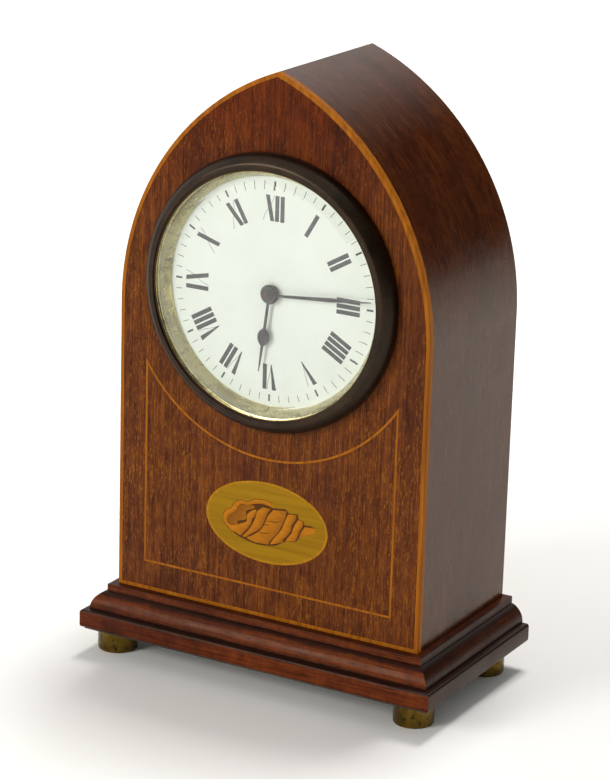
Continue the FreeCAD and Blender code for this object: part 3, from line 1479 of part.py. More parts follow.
def build_lever():
    """The lever: two pallets that straddle the escape wheel and a fork towards the balance."""
    line = s.platform_height
    pivot, half = s.lever_offset, s.lever_width / 2
    pallet_x = s.escape_offset + s.pallet_radius * cosine(s.pallet_angle)
    rise = s.pallet_radius * sine(s.pallet_angle)
    block = s.pallet_size / 2
    fork = s.balance_offset - s.fork_reach
    prong, slit = s.fork_width / 2, s.fork_slot / 2
    upper = [
        (fork, slit),
        (fork, prong),
        (fork - prong, prong),
        (fork - prong * 2, half),
        (pivot + half * 2, half),
        (pallet_x + block, rise + block),
        (pallet_x - block, rise + block),
        (pallet_x - block, rise - block),
        (pallet_x + block / 2, rise - block),
        (pivot - half, ZERO),
    ]
    outline = [(u, line + v) for u, v in upper]
    outline += [(u, line - v) for u, v in upper[-2::-1]]
    outline += [(fork - prong, line - slit), (fork - prong, line + slit)]
    body = new_body()
    pad(body, "XZ_Plane", depth(level_of(s.escape_level)), s.escape_thickness, path(outline))
    pad(body, "XZ_Plane", depth(level_of(s.escape_level)), s.escape_thickness,
        circle(pivot, line, s.lever_arbor_radius * 1.5))
    play = s.pivot_clearance * 4
    x, z = pivot, DIAL_Z + line
    top = level_of(s.bridge_level)
    tip = MOVEMENT_BACK + play / 2
    start = PLATFORM_TOP + play
    node(fused([
        place(body, z=DIAL_Z),
        rod(s.lever_arbor_radius, start, top - play - start, x, z),
        rod(s.pivot_radius, tip, top + s.bridge_thickness - play / 2 - tip, x, z),
    ]), "lever")


def build_balance():
    x, line = s.balance_offset, s.platform_height
    z = DIAL_Z + line
    body = new_body()
    start = depth(level_of(s.balance_level))
    inner = s.balance_radius - s.balance_rim
    pad(body, "XZ_Plane", start, s.balance_thickness, circle(x, line, s.balance_radius), circle(x, line, inner))
    half, arm = s.balance_radius - s.balance_rim / 2, s.balance_arm / 2
    bar = [(x - half, line - arm), (x + half, line - arm), (x + half, line + arm), (x - half, line + arm)]
    pad(body, "XZ_Plane", start, s.balance_thickness, path(bar))
    pad(body, "XZ_Plane", start, s.balance_thickness, circle(x, line, s.balance_hub))
    play = s.pivot_clearance * 4
    cock = level_of(s.cock_level)
    staff_start = PLATFORM_TOP + play
    tip = MOVEMENT_BACK + play / 2
    pin_end = level_of(s.escape_level - s.roller_gap)
    pin_start = pin_end - s.roller_thickness
    node(fused([
        place(body, z=DIAL_Z),
        rod(s.staff_radius, staff_start, cock - play - staff_start, x, z),
        rod(s.pivot_radius, tip, cock + s.platform_thickness - play / 2 - tip, x, z),
        rod(s.roller_radius, pin_start - s.roller_thickness, s.roller_thickness, x, z),
        rod(s.impulse_pin_radius, pin_start - s.roller_thickness, s.roller_thickness * 2,
            x - s.impulse_pin_circle, z),
        rod(s.hairspring_inner - s.hairspring_strip, level_of(s.hairspring_level - s.roller_gap),
            s.hairspring_height + s.roller_gap * 2, x, z),
    ]), "balance_wheel")

    coil = spiral_strip(
        s.hairspring_inner.value, s.hairspring_outer.value, s.hairspring_turns.value,
        s.hairspring_strip.value, s.hairspring_height.value,
    )
    spring = formed(coil, "Hairspring")
    spot = Vector(x.value, depth(level_of(s.hairspring_level)).value, z.value)
    spring.Placement = FreeCAD.Placement(spot, Rotation(Vector(0, 1, 0), -90))
    node(spring, "hairspring")

    half, thick = s.cock_width / 2, s.platform_thickness
    top = line + s.cock_reach
    bend = half * ROUND_END
    outline = [(x + half, line), (x + half, top, bend, -1), (x - half, top), (x - half, line, bend, -1)]
    cock_body = new_body()
    pad(cock_body, "XZ_Plane", depth(cock), thick, path(outline))
    foot_x, foot_z = cock_foot()
    stud_z = z + s.hairspring_outer + s.stud_radius
    whole = fused([
        place(cock_body, z=DIAL_Z),
        rod(half, PLATFORM_TOP, cock + thick - PLATFORM_TOP, foot_x, foot_z),
        rod(s.stud_radius, level_of(s.hairspring_level), cock + thick - level_of(s.hairspring_level), x, stud_z),
    ])
    pivot_hole = s.pivot_radius + s.pivot_clearance
    screw_hole = s.screw_radius + s.screw_clearance
    reach = s.screw_bite + s.screw_clearance * 4
    node(cut(whole, [
        rod(pivot_hole, cock - thick, thick * 3, x, z),
        rod(screw_hole, cock + thick - reach, reach + thick, foot_x, foot_z),
    ]), "balance_cock")


# ---------------------------------------------------------------- back ring and door
def upright_block(low, high):
    """A block between two corners, each (x, y, z)."""
    block = doc.addObject("Part::Box", "Block")
    for name, first, last in zip(("Length", "Width", "Height"), low, high):
        bind(block, name, last - first)
    return place(block, *low)


def build_back():
    case_back = s.case_depth
    ring_face = case_back + s.ring_thickness
    ring = turned([
        (RING_OPENING, depth(case_back)),
        (RING_BORE, depth(case_back)),
        (RING_BORE, depth(case_back - s.back_thickness)),
        (s.ring_sleeve_radius, depth(case_back - s.back_thickness)),
        (s.ring_sleeve_radius, depth(case_back)),
        (RING_RADIUS, depth(case_back)),
        (RING_RADIUS, depth(ring_face)),
        (RING_OPENING, depth(ring_face)),
    ])
    hinge_x = -(DOOR_RADIUS + s.hinge_reach)
    hinge_y = depth(case_back + s.hinge_rise)
    half = s.knuckle_length / 2
    lugs = []
    for foot in (half + s.knuckle_gap, -(half + s.knuckle_gap + s.knuckle_length)):
        lugs.append(post(s.knuckle_radius, DIAL_Z + foot, s.knuckle_length, hinge_x, hinge_y))
        web = s.knuckle_radius * 0.6
        low = (hinge_x - web, depth(ring_face) - s.ring_thickness / 2, DIAL_Z + foot)
        high = (hinge_x + web, hinge_y, DIAL_Z + foot + s.knuckle_length)
        lugs.append(upright_block(low, high))
    pin_length = s.knuckle_length * 3 + s.knuckle_gap * 2
    pin_foot = DIAL_Z - pin_length / 2
    pin_hole = post(s.hinge_pin_radius + s.pivot_clearance, pin_foot - half, pin_length + half * 2, hinge_x, hinge_y)
    screw_hole = s.screw_radius + s.screw_clearance
    sink = s.tie_screw_head + s.screw_clearance
    holes = [pin_hole]
    tie_spots = [(x, DIAL_Z + z) for x, z in ring_spots(TIE_ROD_CIRCLE, TIE_ROD_ANGLES)]
    for x, z in tie_spots:
        holes.append(rod(screw_hole, case_back - half, half * 2, x, z))
        holes.append(rod(sink, ring_face - s.tie_screw_sink, s.tie_screw_sink * 2, x, z))
    node(cut(fused([place(ring, z=DIAL_Z)] + lugs), holes), "rear_ring")

    rods, screws = [], []
    bite = s.tie_screw_bite + s.screw_clearance * 4
    head_seat = ring_face - s.tie_screw_sink
    for x, z in tie_spots:
        bar = rod(s.tie_rod_radius, BETWEEN, case_back - BETWEEN, x, z)
        rods.append(cut(bar, [rod(screw_hole, case_back - bite, bite * 2, x, z)]))
        head = rod(s.tie_screw_head, head_seat, s.tie_screw_sink, x, z)
        grip = head_seat - case_back + s.tie_screw_bite
        screws.append(fused([head, rod(s.screw_radius, head_seat - grip, grip, x, z)]))
    node(grouped(rods), "tie_rods")
    node(grouped(screws), "tie_screws")

    inner = ring_face + s.door_gap
    outer = inner + s.door_wall
    shoulder = DOOR_RADIUS - s.door_rim
    dish = shoulder - s.door_slope
    shell = turned([
        (ZERO, depth(inner + s.door_crown)),
        (dish, depth(inner + s.door_crown)),
        (shoulder, depth(inner)),
        (DOOR_RADIUS, depth(inner)),
        (DOOR_RADIUS, depth(outer)),
        (shoulder, depth(outer)),
        (dish, depth(outer + s.door_crown)),
        (ZERO, depth(outer + s.door_crown)),
    ])
    knuckle = post(s.knuckle_radius, DIAL_Z - half, s.knuckle_length, hinge_x, hinge_y)
    low = (hinge_x, depth(inner), DIAL_Z - half)
    high = (-(DOOR_RADIUS - s.door_wall), depth(outer), DIAL_Z + half)
    door = fused([place(shell, z=DIAL_Z), knuckle, upright_block(low, high)])
    pin_bore = post(s.hinge_pin_radius + s.pivot_clearance, pin_foot, pin_length, hinge_x, hinge_y)
    node(cut(door, [pin_bore]), "back_door")
    node(post(s.hinge_pin_radius, pin_foot, pin_length, hinge_x, hinge_y), "hinge_pin")

    top = case_back + s.rear_reach
    neck, head = s.door_knob_neck, s.door_knob_radius
    tall = top - outer
    knob = turned([
        (ZERO, depth(outer)),
        (neck * 1.6, depth(outer)),
        (neck * 1.6, depth(outer + tall * 0.12)),
        (neck, depth(outer + tall * 0.25)),
        (neck, depth(outer + tall * 0.5)),
        (head, depth(outer + tall * 0.68), head * 2, -1),
        (head * 0.8, depth(top)),
        (ZERO, depth(top)),
    ])
    node(place(knob, DOOR_RADIUS - s.door_knob_inset, ZERO, DIAL_Z), "door_knob")


# ---------------------------------------------------------------- build, check and write
def finish():
    doc.recompute()
    bad = [item.Name for item in doc.Objects if {"Invalid", "Error"} & set(item.State)]
    if bad:
        raise SystemExit(f"failed objects: {bad}")
    for piece in PIECES:
        if piece.Shape.isNull() or not piece.Shape.isValid():
            raise SystemExit(f"{piece.Label} has no valid shape")
    os.makedirs("parts", exist_ok=True)
    for piece in PIECES:
        piece.Shape.exportStep(f"parts/{piece.Label}.step")
        print(f"{piece.Label:22s} solids {len(piece.Shape.Solids)}  volume {piece.Shape.Volume:10.2f}")


build_carcase()
build_inlay()
build_plinth()
build_feet()
build_dial()
build_hands()
build_train()
build_motion_work()
build_plates()
build_screws()
build_barrel()
build_knob()
build_platform()
build_escape_wheel()
build_lever()
build_balance()
build_back()
finish()
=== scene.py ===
import math

import bmesh
import bpy
from mathutils import Matrix, Vector
from mathutils.geometry import tessellate_polygon


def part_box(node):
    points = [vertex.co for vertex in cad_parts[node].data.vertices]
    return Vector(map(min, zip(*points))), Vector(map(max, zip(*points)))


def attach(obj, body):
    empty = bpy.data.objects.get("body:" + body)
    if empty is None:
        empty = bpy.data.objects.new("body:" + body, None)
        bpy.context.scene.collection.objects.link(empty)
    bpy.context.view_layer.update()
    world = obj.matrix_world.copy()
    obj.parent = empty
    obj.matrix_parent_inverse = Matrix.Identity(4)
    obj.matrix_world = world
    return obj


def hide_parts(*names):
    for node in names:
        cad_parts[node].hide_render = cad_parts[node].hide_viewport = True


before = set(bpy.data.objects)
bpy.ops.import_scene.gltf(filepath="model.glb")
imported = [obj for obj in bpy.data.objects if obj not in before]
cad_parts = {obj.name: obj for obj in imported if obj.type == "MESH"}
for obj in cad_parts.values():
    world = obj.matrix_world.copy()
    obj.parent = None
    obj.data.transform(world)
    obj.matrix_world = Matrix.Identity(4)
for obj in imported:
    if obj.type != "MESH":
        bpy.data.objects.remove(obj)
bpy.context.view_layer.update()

MM = 0.001
FRONT_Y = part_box("front_panel")[0].y / MM
BACK_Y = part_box("right_side")[1].y / MM
BODY_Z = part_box("right_side")[0].z / MM
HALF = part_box("right_side")[1].x / MM
DIAL_Z = (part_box("dial")[0].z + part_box("dial")[1].z) / 2 / MM
PATERA_Z = (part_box("patera_border")[0].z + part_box("patera_border")[1].z) / 2 / MM
SPRING_Z = BODY_Z + 113.5
ARCH = 100.0
EDGE = 1.6
LINE_DEPTH, REBATE, BOARD = 2.7, 5.3, 8.0


# ---------------------------------------------------------------- colour and nodes
def srgb(red, green, blue):
    """Turns the three 0-255 values of a screen colour into a linear colour."""
    def linear(value):
        value /= 255
        return value / 12.92 if value <= 0.04045 else ((value + 0.055) / 1.055) ** 2.4
    return (linear(red), linear(green), linear(blue), 1.0)


class Look:
    """One procedural material and the few node shapes that it is made of."""

    def __init__(self, name):
        self.material = bpy.data.materials.new(name)
        self.material.use_nodes = True
        self.tree = self.material.node_tree
        self.tree.nodes.clear()
        self.out = self.add("ShaderNodeOutputMaterial")
        self.shader = self.add("ShaderNodeBsdfPrincipled")
        self.join(self.shader.outputs["BSDF"], self.out.inputs["Surface"])
        self.place = self.add("ShaderNodeTexCoord").outputs["Object"]

    def add(self, kind, **values):
        made = self.tree.nodes.new(kind)
        for key, value in values.items():
            setattr(made, key, value)
        return made

    def join(self, source, target):
        self.tree.links.new(source, target)

    def put(self, target, value):
        if isinstance(value, bpy.types.NodeSocket):
            self.join(value, target)
        else:
            target.default_value = value

    def set(self, **values):
        for key, value in values.items():
            self.put(self.shader.inputs[key.replace("_", " ")], value)

    def stretch(self, scale, shift=(0, 0, 0), turn=(0, 0, 0)):
        mapping = self.add("ShaderNodeMapping")
        mapping.inputs["Scale"].default_value = scale
        mapping.inputs["Location"].default_value = shift
        mapping.inputs["Rotation"].default_value = turn
        self.join(self.place, mapping.inputs["Vector"])
        return mapping.outputs["Vector"]

    def noise(self, vector, scale=1.0, detail=3.0, rough=0.55, warp=0.0):
        made = self.add("ShaderNodeTexNoise")
        self.join(vector, made.inputs["Vector"])
        made.inputs["Scale"].default_value = scale
        made.inputs["Detail"].default_value = detail
        made.inputs["Roughness"].default_value = rough
        made.inputs["Distortion"].default_value = warp
        return made.outputs["Fac"]

    def ramp(self, value, *stops):
        made = self.add("ShaderNodeValToRGB")
        self.join(value, made.inputs["Fac"])
        cells = made.color_ramp.elements
        while len(cells) < len(stops):
            cells.new(0.5)
        for cell, (spot, shade) in zip(cells, stops):
            cell.position = spot
            cell.color = shade if len(shade) == 4 else (*shade, 1)
        return made.outputs["Color"]

    def grey(self, value, low, high, first=0.0, last=1.0):
        made = self.add("ShaderNodeMapRange")
        self.join(value, made.inputs["Value"])
        for key, number in (("From Min", low), ("From Max", high), ("To Min", first), ("To Max", last)):
            made.inputs[key].default_value = number
        return made.outputs["Result"]

    def mix(self, share, first, second, kind="MIX"):
        made = self.add("ShaderNodeMix", data_type="RGBA", blend_type=kind)
        self.put(made.inputs["Factor"], share)
        self.put(made.inputs["A"], first)
        self.put(made.inputs["B"], second)
        return made.outputs["Result"]

    def math(self, kind, first, second=0.5):
        made = self.add("ShaderNodeMath", operation=kind)
        self.put(made.inputs[0], first)
        self.put(made.inputs[1], second)
        return made.outputs[0]

    def axis(self, letter):
        made = self.add("ShaderNodeSeparateXYZ")
        self.join(self.place, made.inputs["Vector"])
        return made.outputs[letter]

    def bump(self, height, distance, strength=1.0, under=None):
        made = self.add("ShaderNodeBump")
        made.inputs["Distance"].default_value = distance
        made.inputs["Strength"].default_value = strength
        self.join(height, made.inputs["Height"])
        if under is not None:
            self.join(under, made.inputs["Normal"])
        return made.outputs["Normal"]


# ---------------------------------------------------------------- woods
# noise scales across the grain and along it
BROAD, STREAK, PORE, SPARK = (34, 7), (1500, 52), (3400, 230), (2300, 420)
# The second tone darkens the plinth's hollows: partly old polish, partly painted shade in the recesses and at
# the joint under the case.
PORE_TONE, POLISH_AND_SHADE_TONE = srgb(44, 16, 10), srgb(26, 14, 12)


def spread(grain, fine, coarse):
    """Noise scales for x, y and z; grain is 0 along the figure and 1 across it."""
    return tuple(fine if step else coarse for step in grain)


def mahogany(name, grain, dark, middle, light, fleck, fleck_share=0.5, polish=0.32, specular=0.3, patina=(),
             tint=(1.0, 0.85, 0.66, 1), hollows=()):
    """Polished mahogany, with a patina, and hollows darkened at the heights given by old polish and painted
    shade.
    """
    look = Look(name)
    broad = look.noise(look.stretch(spread(grain, *BROAD)), 1.0, 3, 0.5, 0.6)
    streak = look.noise(look.stretch(spread(grain, *STREAK)), 1.0, 6, 0.66, 0.3)
    cross = look.noise(look.stretch((260, 260, 150), (2, 6, 1)), 1.0, 5, 0.7)
    pore = look.noise(look.stretch(spread(grain, *PORE), (3, 5, 7)), 1.0, 2, 0.5)
    figure = look.math("ADD", look.math("MULTIPLY", streak, 0.62), look.math("MULTIPLY", cross, 0.38))
    body = look.ramp(figure, (0.38, dark), (0.5, middle), (0.63, light))
    shade = look.ramp(broad, (0.32, srgb(176, 150, 186)), (0.5, srgb(250, 240, 240)),
                      (0.68, srgb(255, 246, 214)))
    body = look.mix(0.9, body, shade, "MULTIPLY")
    pores = look.grey(pore, 0.58, 0.68)
    body = look.mix(look.math("MULTIPLY", pores, 0.5), body, PORE_TONE)
    spark = look.noise(look.stretch(spread(grain, *SPARK), (11, 2, 4)), 1.0, 4, 0.75)
    where = look.noise(look.stretch((30, 30, 21), (1, 8, 3)), 1.0, 3, 0.6)
    spark = look.math("MULTIPLY", look.grey(spark, 0.55, 0.66), look.grey(where, 0.36, 0.62, 0.25, 1.0))
    body = look.mix(look.math("MULTIPLY", spark, fleck_share), body, fleck)
    for low, high, share, tone in patina:
        body = look.mix(look.grey(look.axis("Z"), low * MM, high * MM, 0.0, share), body, tone, "MULTIPLY")
    if hollows:
        ragged = look.noise(look.stretch((120, 120, 300)), 1.0, 4, 0.7)
        wander = look.math("MULTIPLY", look.math("SUBTRACT", ragged, 0.5), 1.6 * MM)
        level = look.math("ADD", look.axis("Z"), wander)
    # painted shade and old polish: each hollow darkens towards the near-black tone, with a ragged edge
    for low, high, share in hollows:
        centre, half = (low + high) / 2 * MM, (high - low) / 2 * MM
        away = look.math("ABSOLUTE", look.math("SUBTRACT", level, centre))
        body = look.mix(look.grey(away, half * 0.35, half, share, 0.0), body, POLISH_AND_SHADE_TONE)
    haze = look.noise(look.stretch((70, 70, 70)), 1.0, 4, 0.6)
    look.set(Base_Color=body, Roughness=look.grey(haze, 0.3, 0.7, polish - 0.05, polish + 0.09))
    look.set(Specular_IOR_Level=specular, Specular_Tint=tint)
    height = look.math("ADD", look.math("MULTIPLY", streak, 0.5), look.math("MULTIPLY", pores, -0.5))
    look.set(Normal=look.bump(height, 0.00005, 0.45))
    return look.material


def plain_wood(name, dark, light, grain, rough=0.6, coat=0.0, specular=0.25):
    look = Look(name)
    streak = look.noise(look.stretch(tuple(700 if step else 22 for step in grain)), 1.0, 5, 0.6, 0.3)
    look.set(Base_Color=look.ramp(streak, (0.3, dark), (0.7, light)), Coat_Weight=coat, Coat_Roughness=0.2)
    look.set(Specular_IOR_Level=specular)
    look.set(Roughness=look.grey(streak, 0.3, 0.7, rough - 0.08, rough + 0.1))
    look.set(Normal=look.bump(streak, 0.00012, 0.6))
    return look.material


ALONG_Z, ALONG_X, ALONG_Y = (1, 1, 0), (0, 1, 1), (1, 0, 1)
veneer = mahogany("veneer_front", ALONG_Z, srgb(64, 28, 15), srgb(96, 49, 22), srgb(128, 72, 26),
                  srgb(190, 126, 34), 0.55, 0.36, 0.1,
                  [(176, 218, 0.85, srgb(230, 172, 96))])
# The sides get darker copies of the front's mahogany colours: painted shade.
shaded_side_veneer = mahogany("veneer_side_shaded", (0, 1, 0), srgb(48, 20, 9), srgb(70, 33, 14), srgb(90, 47, 19),
                       srgb(118, 76, 34), 0.22, 0.2, 0.36, tint=(1.0, 0.72, 0.42, 1))
# heights of the darkened hollows (fillet foot, groove over the slab, joint under the case): partly old
# polish, partly painted shade
HOLLOWS = [(BODY_Z - 4.4, BODY_Z - 2.2, 0.85), (BODY_Z - 10.9, BODY_Z - 8.6, 0.9),
           (BODY_Z - 0.9, BODY_Z + 1.0, 0.5)]
PLINTH_FLECK = srgb(150, 92, 34)
plinth_front = mahogany("plinth_front", ALONG_X, srgb(62, 20, 8), srgb(94, 40, 15), srgb(122, 60, 22),
                        PLINTH_FLECK, 0.2, 0.34, 0.12, hollows=HOLLOWS)
# The plinth's side returns get darker copies of the front's colours: painted shade.
plinth_side_shaded = mahogany("plinth_side_shaded", ALONG_Y, srgb(34, 14, 8), srgb(54, 26, 14), srgb(72, 38, 19),
                       PLINTH_FLECK, 0.2, 0.34, 0.2, hollows=HOLLOWS)
inner_wood = plain_wood("inner_wood", srgb(120, 78, 46), srgb(168, 122, 78), ALONG_X, 0.75)
carcase = plain_wood("carcase", srgb(80, 42, 24), srgb(122, 70, 42), ALONG_Z, 0.6, 0.1)
boxwood = plain_wood("boxwood", srgb(132, 72, 10), srgb(178, 106, 20), ALONG_Z, 0.46, specular=0.08)
border = plain_wood("border_wood", srgb(156, 104, 10), srgb(184, 130, 20), (1, 1, 1), 0.46, specular=0.08)
ground = plain_wood("ground_wood", srgb(136, 98, 8), srgb(162, 120, 16), ALONG_X, 0.46, specular=0.08)


def scorched():
    """Shell inlay wood, shaded towards brown where its scorch value is high."""
    look = Look("scorched_wood")
    streak = look.noise(look.stretch((240, 240, 900)), 1.0, 5, 0.65, 0.4)
    wood = look.ramp(streak, (0.3, srgb(166, 98, 12)), (0.7, srgb(200, 126, 22)))
    shade = look.add("ShaderNodeAttribute", attribute_name="scorch").outputs["Fac"]
    ragged = look.math("ADD", shade, look.math("MULTIPLY", look.math("SUBTRACT", streak, 0.5), 0.25))
    look.set(Base_Color=look.mix(look.grey(ragged, 0.0, 1.0), wood, srgb(74, 40, 16)), Roughness=0.46)
    look.set(Specular_IOR_Level=0.08, Normal=look.bump(streak, 0.00008, 0.5))
    return look.material


shell_wood = scorched()


# ---------------------------------------------------------------- metals, enamel, glass
TIP_START, TIP_END = 3.0, 2.4


def metal(name, dark, light, rough, spots=None, share=0.0, scale=120.0, brushed=None, metallic=1.0,
          tip=None):
    """Cloudy metal, with stains, a brushed face or a dull tip in front of the dial."""
    look = Look(name)
    cloud = look.noise(look.stretch((1, 1, 1)), scale, 5, 0.65, 0.2)
    body = look.ramp(cloud, (0.32, dark), (0.68, light))
    if spots is not None:
        stain = look.noise(look.stretch((1, 1, 1), (5, 2, 9)), scale * 2.6, 4, 0.7)
        body = look.mix(look.math("MULTIPLY", look.grey(stain, 0.56, 0.66), share), body, spots)
    if tip is not None:
        reach = look.grey(look.axis("Y"), (FRONT_Y - TIP_START) * MM, (FRONT_Y - TIP_END) * MM)
        body = look.mix(reach, tip, body)
    look.set(Base_Color=body, Roughness=look.grey(cloud, 0.3, 0.7, rough - 0.07, rough + 0.1))
    look.set(Metallic=metallic)
    height = cloud
    if brushed is not None:
        height = look.noise(look.stretch(brushed), 1.0, 3, 0.6)
    look.set(Normal=look.bump(height, 0.00003, 0.5))
    return look.material


foot_brass = metal("foot_brass", srgb(80, 64, 32), srgb(134, 105, 40), 0.32, srgb(36, 29, 16), 0.8, 160)
bezel_brass = metal("bezel_bronze", srgb(35, 26, 16), srgb(54, 39, 25), 0.32, srgb(24, 17, 12), 0.5, 90,
                    metallic=0.75)
lip_brass = metal("lip_brass", srgb(120, 104, 62), srgb(190, 172, 116), 0.26, srgb(40, 34, 22), 0.7, 200)
sight_gilt = metal("sight_gilt", srgb(176, 164, 120), srgb(206, 196, 148), 0.26, srgb(92, 78, 40), 0.6, 75)
plate_brass = metal("plate_brass", srgb(168, 132, 66), srgb(206, 170, 96), 0.32, srgb(120, 88, 40), 0.3, 60,
                    (1800, 60, 60))
door_brass = metal("door_brass", srgb(150, 118, 58), srgb(196, 160, 88), 0.36, srgb(104, 74, 34), 0.45, 50,
                   (900, 60, 60))
steel = metal("steel", srgb(118, 118, 120), srgb(172, 172, 174), 0.28, srgb(84, 78, 72), 0.3, 150)
blue_steel = metal("spring_steel", srgb(52, 62, 96), srgb(90, 98, 132), 0.3, srgb(60, 50, 48), 0.3, 150)
hand_steel = metal("hand_steel", srgb(40, 38, 40), srgb(74, 70, 72), 0.36, srgb(90, 62, 50), 0.4, 300,
                   metallic=0.75)
tip_brass = metal("arbor_brass", srgb(168, 132, 66), srgb(206, 170, 96), 0.32, tip=srgb(92, 58, 46))


def enamel():
    look = Look("enamel")
    cloud = look.noise(look.stretch((1, 1, 1)), 45, 4, 0.5)
    body = look.ramp(cloud, (0.3, srgb(229, 235, 228)), (0.7, srgb(239, 243, 236)))
    look.set(Base_Color=body, Roughness=look.grey(cloud, 0.3, 0.7, 0.16, 0.26), Coat_Weight=0.5)
    look.set(Normal=look.bump(cloud, 0.00005, 0.3))
    return look.material


def ink():
    look = Look("dial_ink")
    cloud = look.noise(look.stretch((1, 1, 1)), 900, 3, 0.6)
    look.set(Base_Color=look.ramp(cloud, (0.3, srgb(26, 26, 30)), (0.7, srgb(46, 46, 50))), Roughness=0.4)
    look.set(Normal=look.bump(cloud, 0.00001, 0.4))
    return look.material


def lining_cloth():
    look = Look("lining")
    nap = look.noise(look.stretch((1, 1, 1)), 1400, 4, 0.7)
    wear = look.noise(look.stretch((1, 1, 1)), 60, 3, 0.5)
    body = look.mix(look.grey(wear, 0.45, 0.7), srgb(38, 44, 34), srgb(70, 66, 48))
    look.set(Base_Color=body, Roughness=0.95, Sheen_Weight=0.3)
    look.set(Normal=look.bump(nap, 0.0002, 0.8))
    return look.material


def glazing():
    look = Look("glazing")
    wave = look.noise(look.stretch((1, 1, 1)), 38, 2, 0.5)
    look.tree.nodes.remove(look.shader)
    glass = look.add("ShaderNodeBsdfGlass")
    glass.inputs["Roughness"].default_value = 0.0
    glass.inputs["IOR"].default_value = 1.5
    look.join(look.bump(wave, 0.00012, 0.6), glass.inputs["Normal"])
    glass.inputs["Color"].default_value = (0.985, 0.995, 0.985, 1)
    clear = look.add("ShaderNodeBsdfTransparent")
    clear.inputs["Color"].default_value = (0.95, 0.96, 0.95, 1)
    rays = look.add("ShaderNodeLightPath")
    both = look.math("MAXIMUM", rays.outputs["Is Shadow Ray"], rays.outputs["Is Diffuse Ray"])
    blend = look.add("ShaderNodeMixShader")
    look.join(both, blend.inputs["Fac"])
    look.join(glass.outputs["BSDF"], blend.inputs[1])
    look.join(clear.outputs["BSDF"], blend.inputs[2])
    look.join(blend.outputs["Shader"], look.out.inputs["Surface"])
    return look.material


enamel_white = enamel()
dial_ink = ink()
lining = lining_cloth()
glass = glazing()


# ---------------------------------------------------------------- dressing the frame
LOOKS = {
    "front_panel": veneer, "left_side": shaded_side_veneer, "right_side": shaded_side_veneer,
    "back_panel": carcase, "bottom_board": inner_wood,
    "edge_stringing": boxwood, "panel_stringing": boxwood, "patera_border": border,
    "patera_ground": ground, "shell_inlay": boxwood,
    "plinth_moulding": plinth_front, "plinth_slab": plinth_front, "base_lining": lining,
    "foot_front_left": foot_brass, "foot_front_right": foot_brass,
    "foot_rear_left": foot_brass, "foot_rear_right": foot_brass, "foot_screws": steel,
    "bezel": bezel_brass, "bezel_glass": glass, "sight_ring": sight_gilt,
    "dial": enamel_white, "dial_feet": plate_brass,
    "hour_hand": hand_steel, "minute_hand": hand_steel, "hand_collet": hand_steel, "centre_wheel": tip_brass,
    "movement_screws": steel, "barrel_arbor": steel, "ratchet_wheel": steel,
    "click": steel, "click_screw": blue_steel, "click_spring": plate_brass,
    "mainspring": blue_steel, "hairspring": blue_steel, "lever": steel, "escape_wheel": steel,
    "back_door": door_brass, "door_knob": door_brass, "rear_ring": door_brass,
    "hinge_pin": steel, "tie_rods": steel, "tie_screws": steel,
}
for name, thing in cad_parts.items():
    look = LOOKS.get(name, plate_brass)
    if not thing.data.materials:
        thing.data.materials.append(look)
    for slot in thing.material_slots:
        slot.material = look


# ---------------------------------------------------------------- building pieces
def mesh_object(name, points, faces, material, smooth=True, angle=35):
    mesh = bpy.data.meshes.new(name)
    mesh.from_pydata([Vector(p) * MM for p in points], [], faces)
    mesh.materials.append(material)
    work = bmesh.new()
    work.from_mesh(mesh)
    bmesh.ops.recalc_face_normals(work, faces=work.faces)
    work.to_mesh(mesh)
    work.free()
    for face in mesh.polygons:
        face.use_smooth = smooth
    thing = bpy.data.objects.new(name, mesh)
    bpy.context.scene.collection.objects.link(thing)
    if smooth:
        mesh.set_sharp_from_angle(angle=math.radians(angle))
    return thing


def lathe(name, profile, material, body, centre=(0.0, DIAL_Z), count=256, upright=False, angle=35):
    """Turns a closed profile of (radius, level) about the dial's axis, or about a post."""
    points, faces = [], []
    rings = len(profile)
    for step in range(count):
        bend = math.tau * step / count
        for radius, level in profile:
            u, v = radius * math.cos(bend), radius * math.sin(bend)
            if upright:
                points.append((centre[0] + u, centre[1] + v, level))
            else:
                points.append((centre[0] + u, FRONT_Y + level, centre[1] + v))
    for step in range(count):
        after = (step + 1) % count
        for ring in range(rings):
            other = (ring + 1) % rings
            near, far = step * rings, after * rings
            faces.append((near + ring, near + other, far + other, far + ring))
    thing = mesh_object(name, points, faces, material, True, angle)
    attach(thing, body)
    return thing


def arc(centre, radius, start, end, steps):
    """Points on an arc, with its angles in degrees."""
    spots = []
    for step in range(steps + 1):
        bend = math.radians(start + (end - start) * step / steps)
        spots.append((centre[0] + radius * math.cos(bend), centre[1] + radius * math.sin(bend)))
    return spots


def half_outline(inset, foot, steps=72):
    """The right half of the lancet, from its foot up to the point, set in by inset."""
    radius = ARCH - inset
    peak = math.degrees(math.acos((ARCH - HALF) / radius))
    return [(HALF - inset, foot)] + arc((HALF - ARCH, SPRING_Z), radius, 0, peak, steps)


# ---------------------------------------------------------------- sides and edge line
def build_sides():
    for side, name in ((-1, "left_side"), (1, "right_side")):
        outer = half_outline(0.0, BODY_Z)
        inner = half_outline(BOARD, BODY_Z)
        near, far = FRONT_Y + LINE_DEPTH, BACK_Y
        loops = []
        for line, level in ((outer, near), (outer, far), (inner, far), (inner, near + REBATE)):
            loops.append([(side * x, level, z) for x, z in line])
        rebate = [(side * x, near + REBATE, z) for x, z in half_outline(EDGE, BODY_Z)]
        edge = [(side * x, near, z) for x, z in half_outline(EDGE, BODY_Z)]
        loops += [rebate, edge]
        points = [p for loop in loops for p in loop]
        count, total = len(outer), len(loops)
        faces = []
        for index in range(total):
            after = (index + 1) % total
            for step in range(count - 1):
                a, b = index * count + step, after * count + step
                faces.append((a, a + 1, b + 1, b))
        for end in (0, count - 1):
            faces.append(tuple(index * count + end for index in range(total)))
        thing = mesh_object(name + "_veneered", points, faces, shaded_side_veneer)
        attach(thing, "case")
        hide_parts(name)


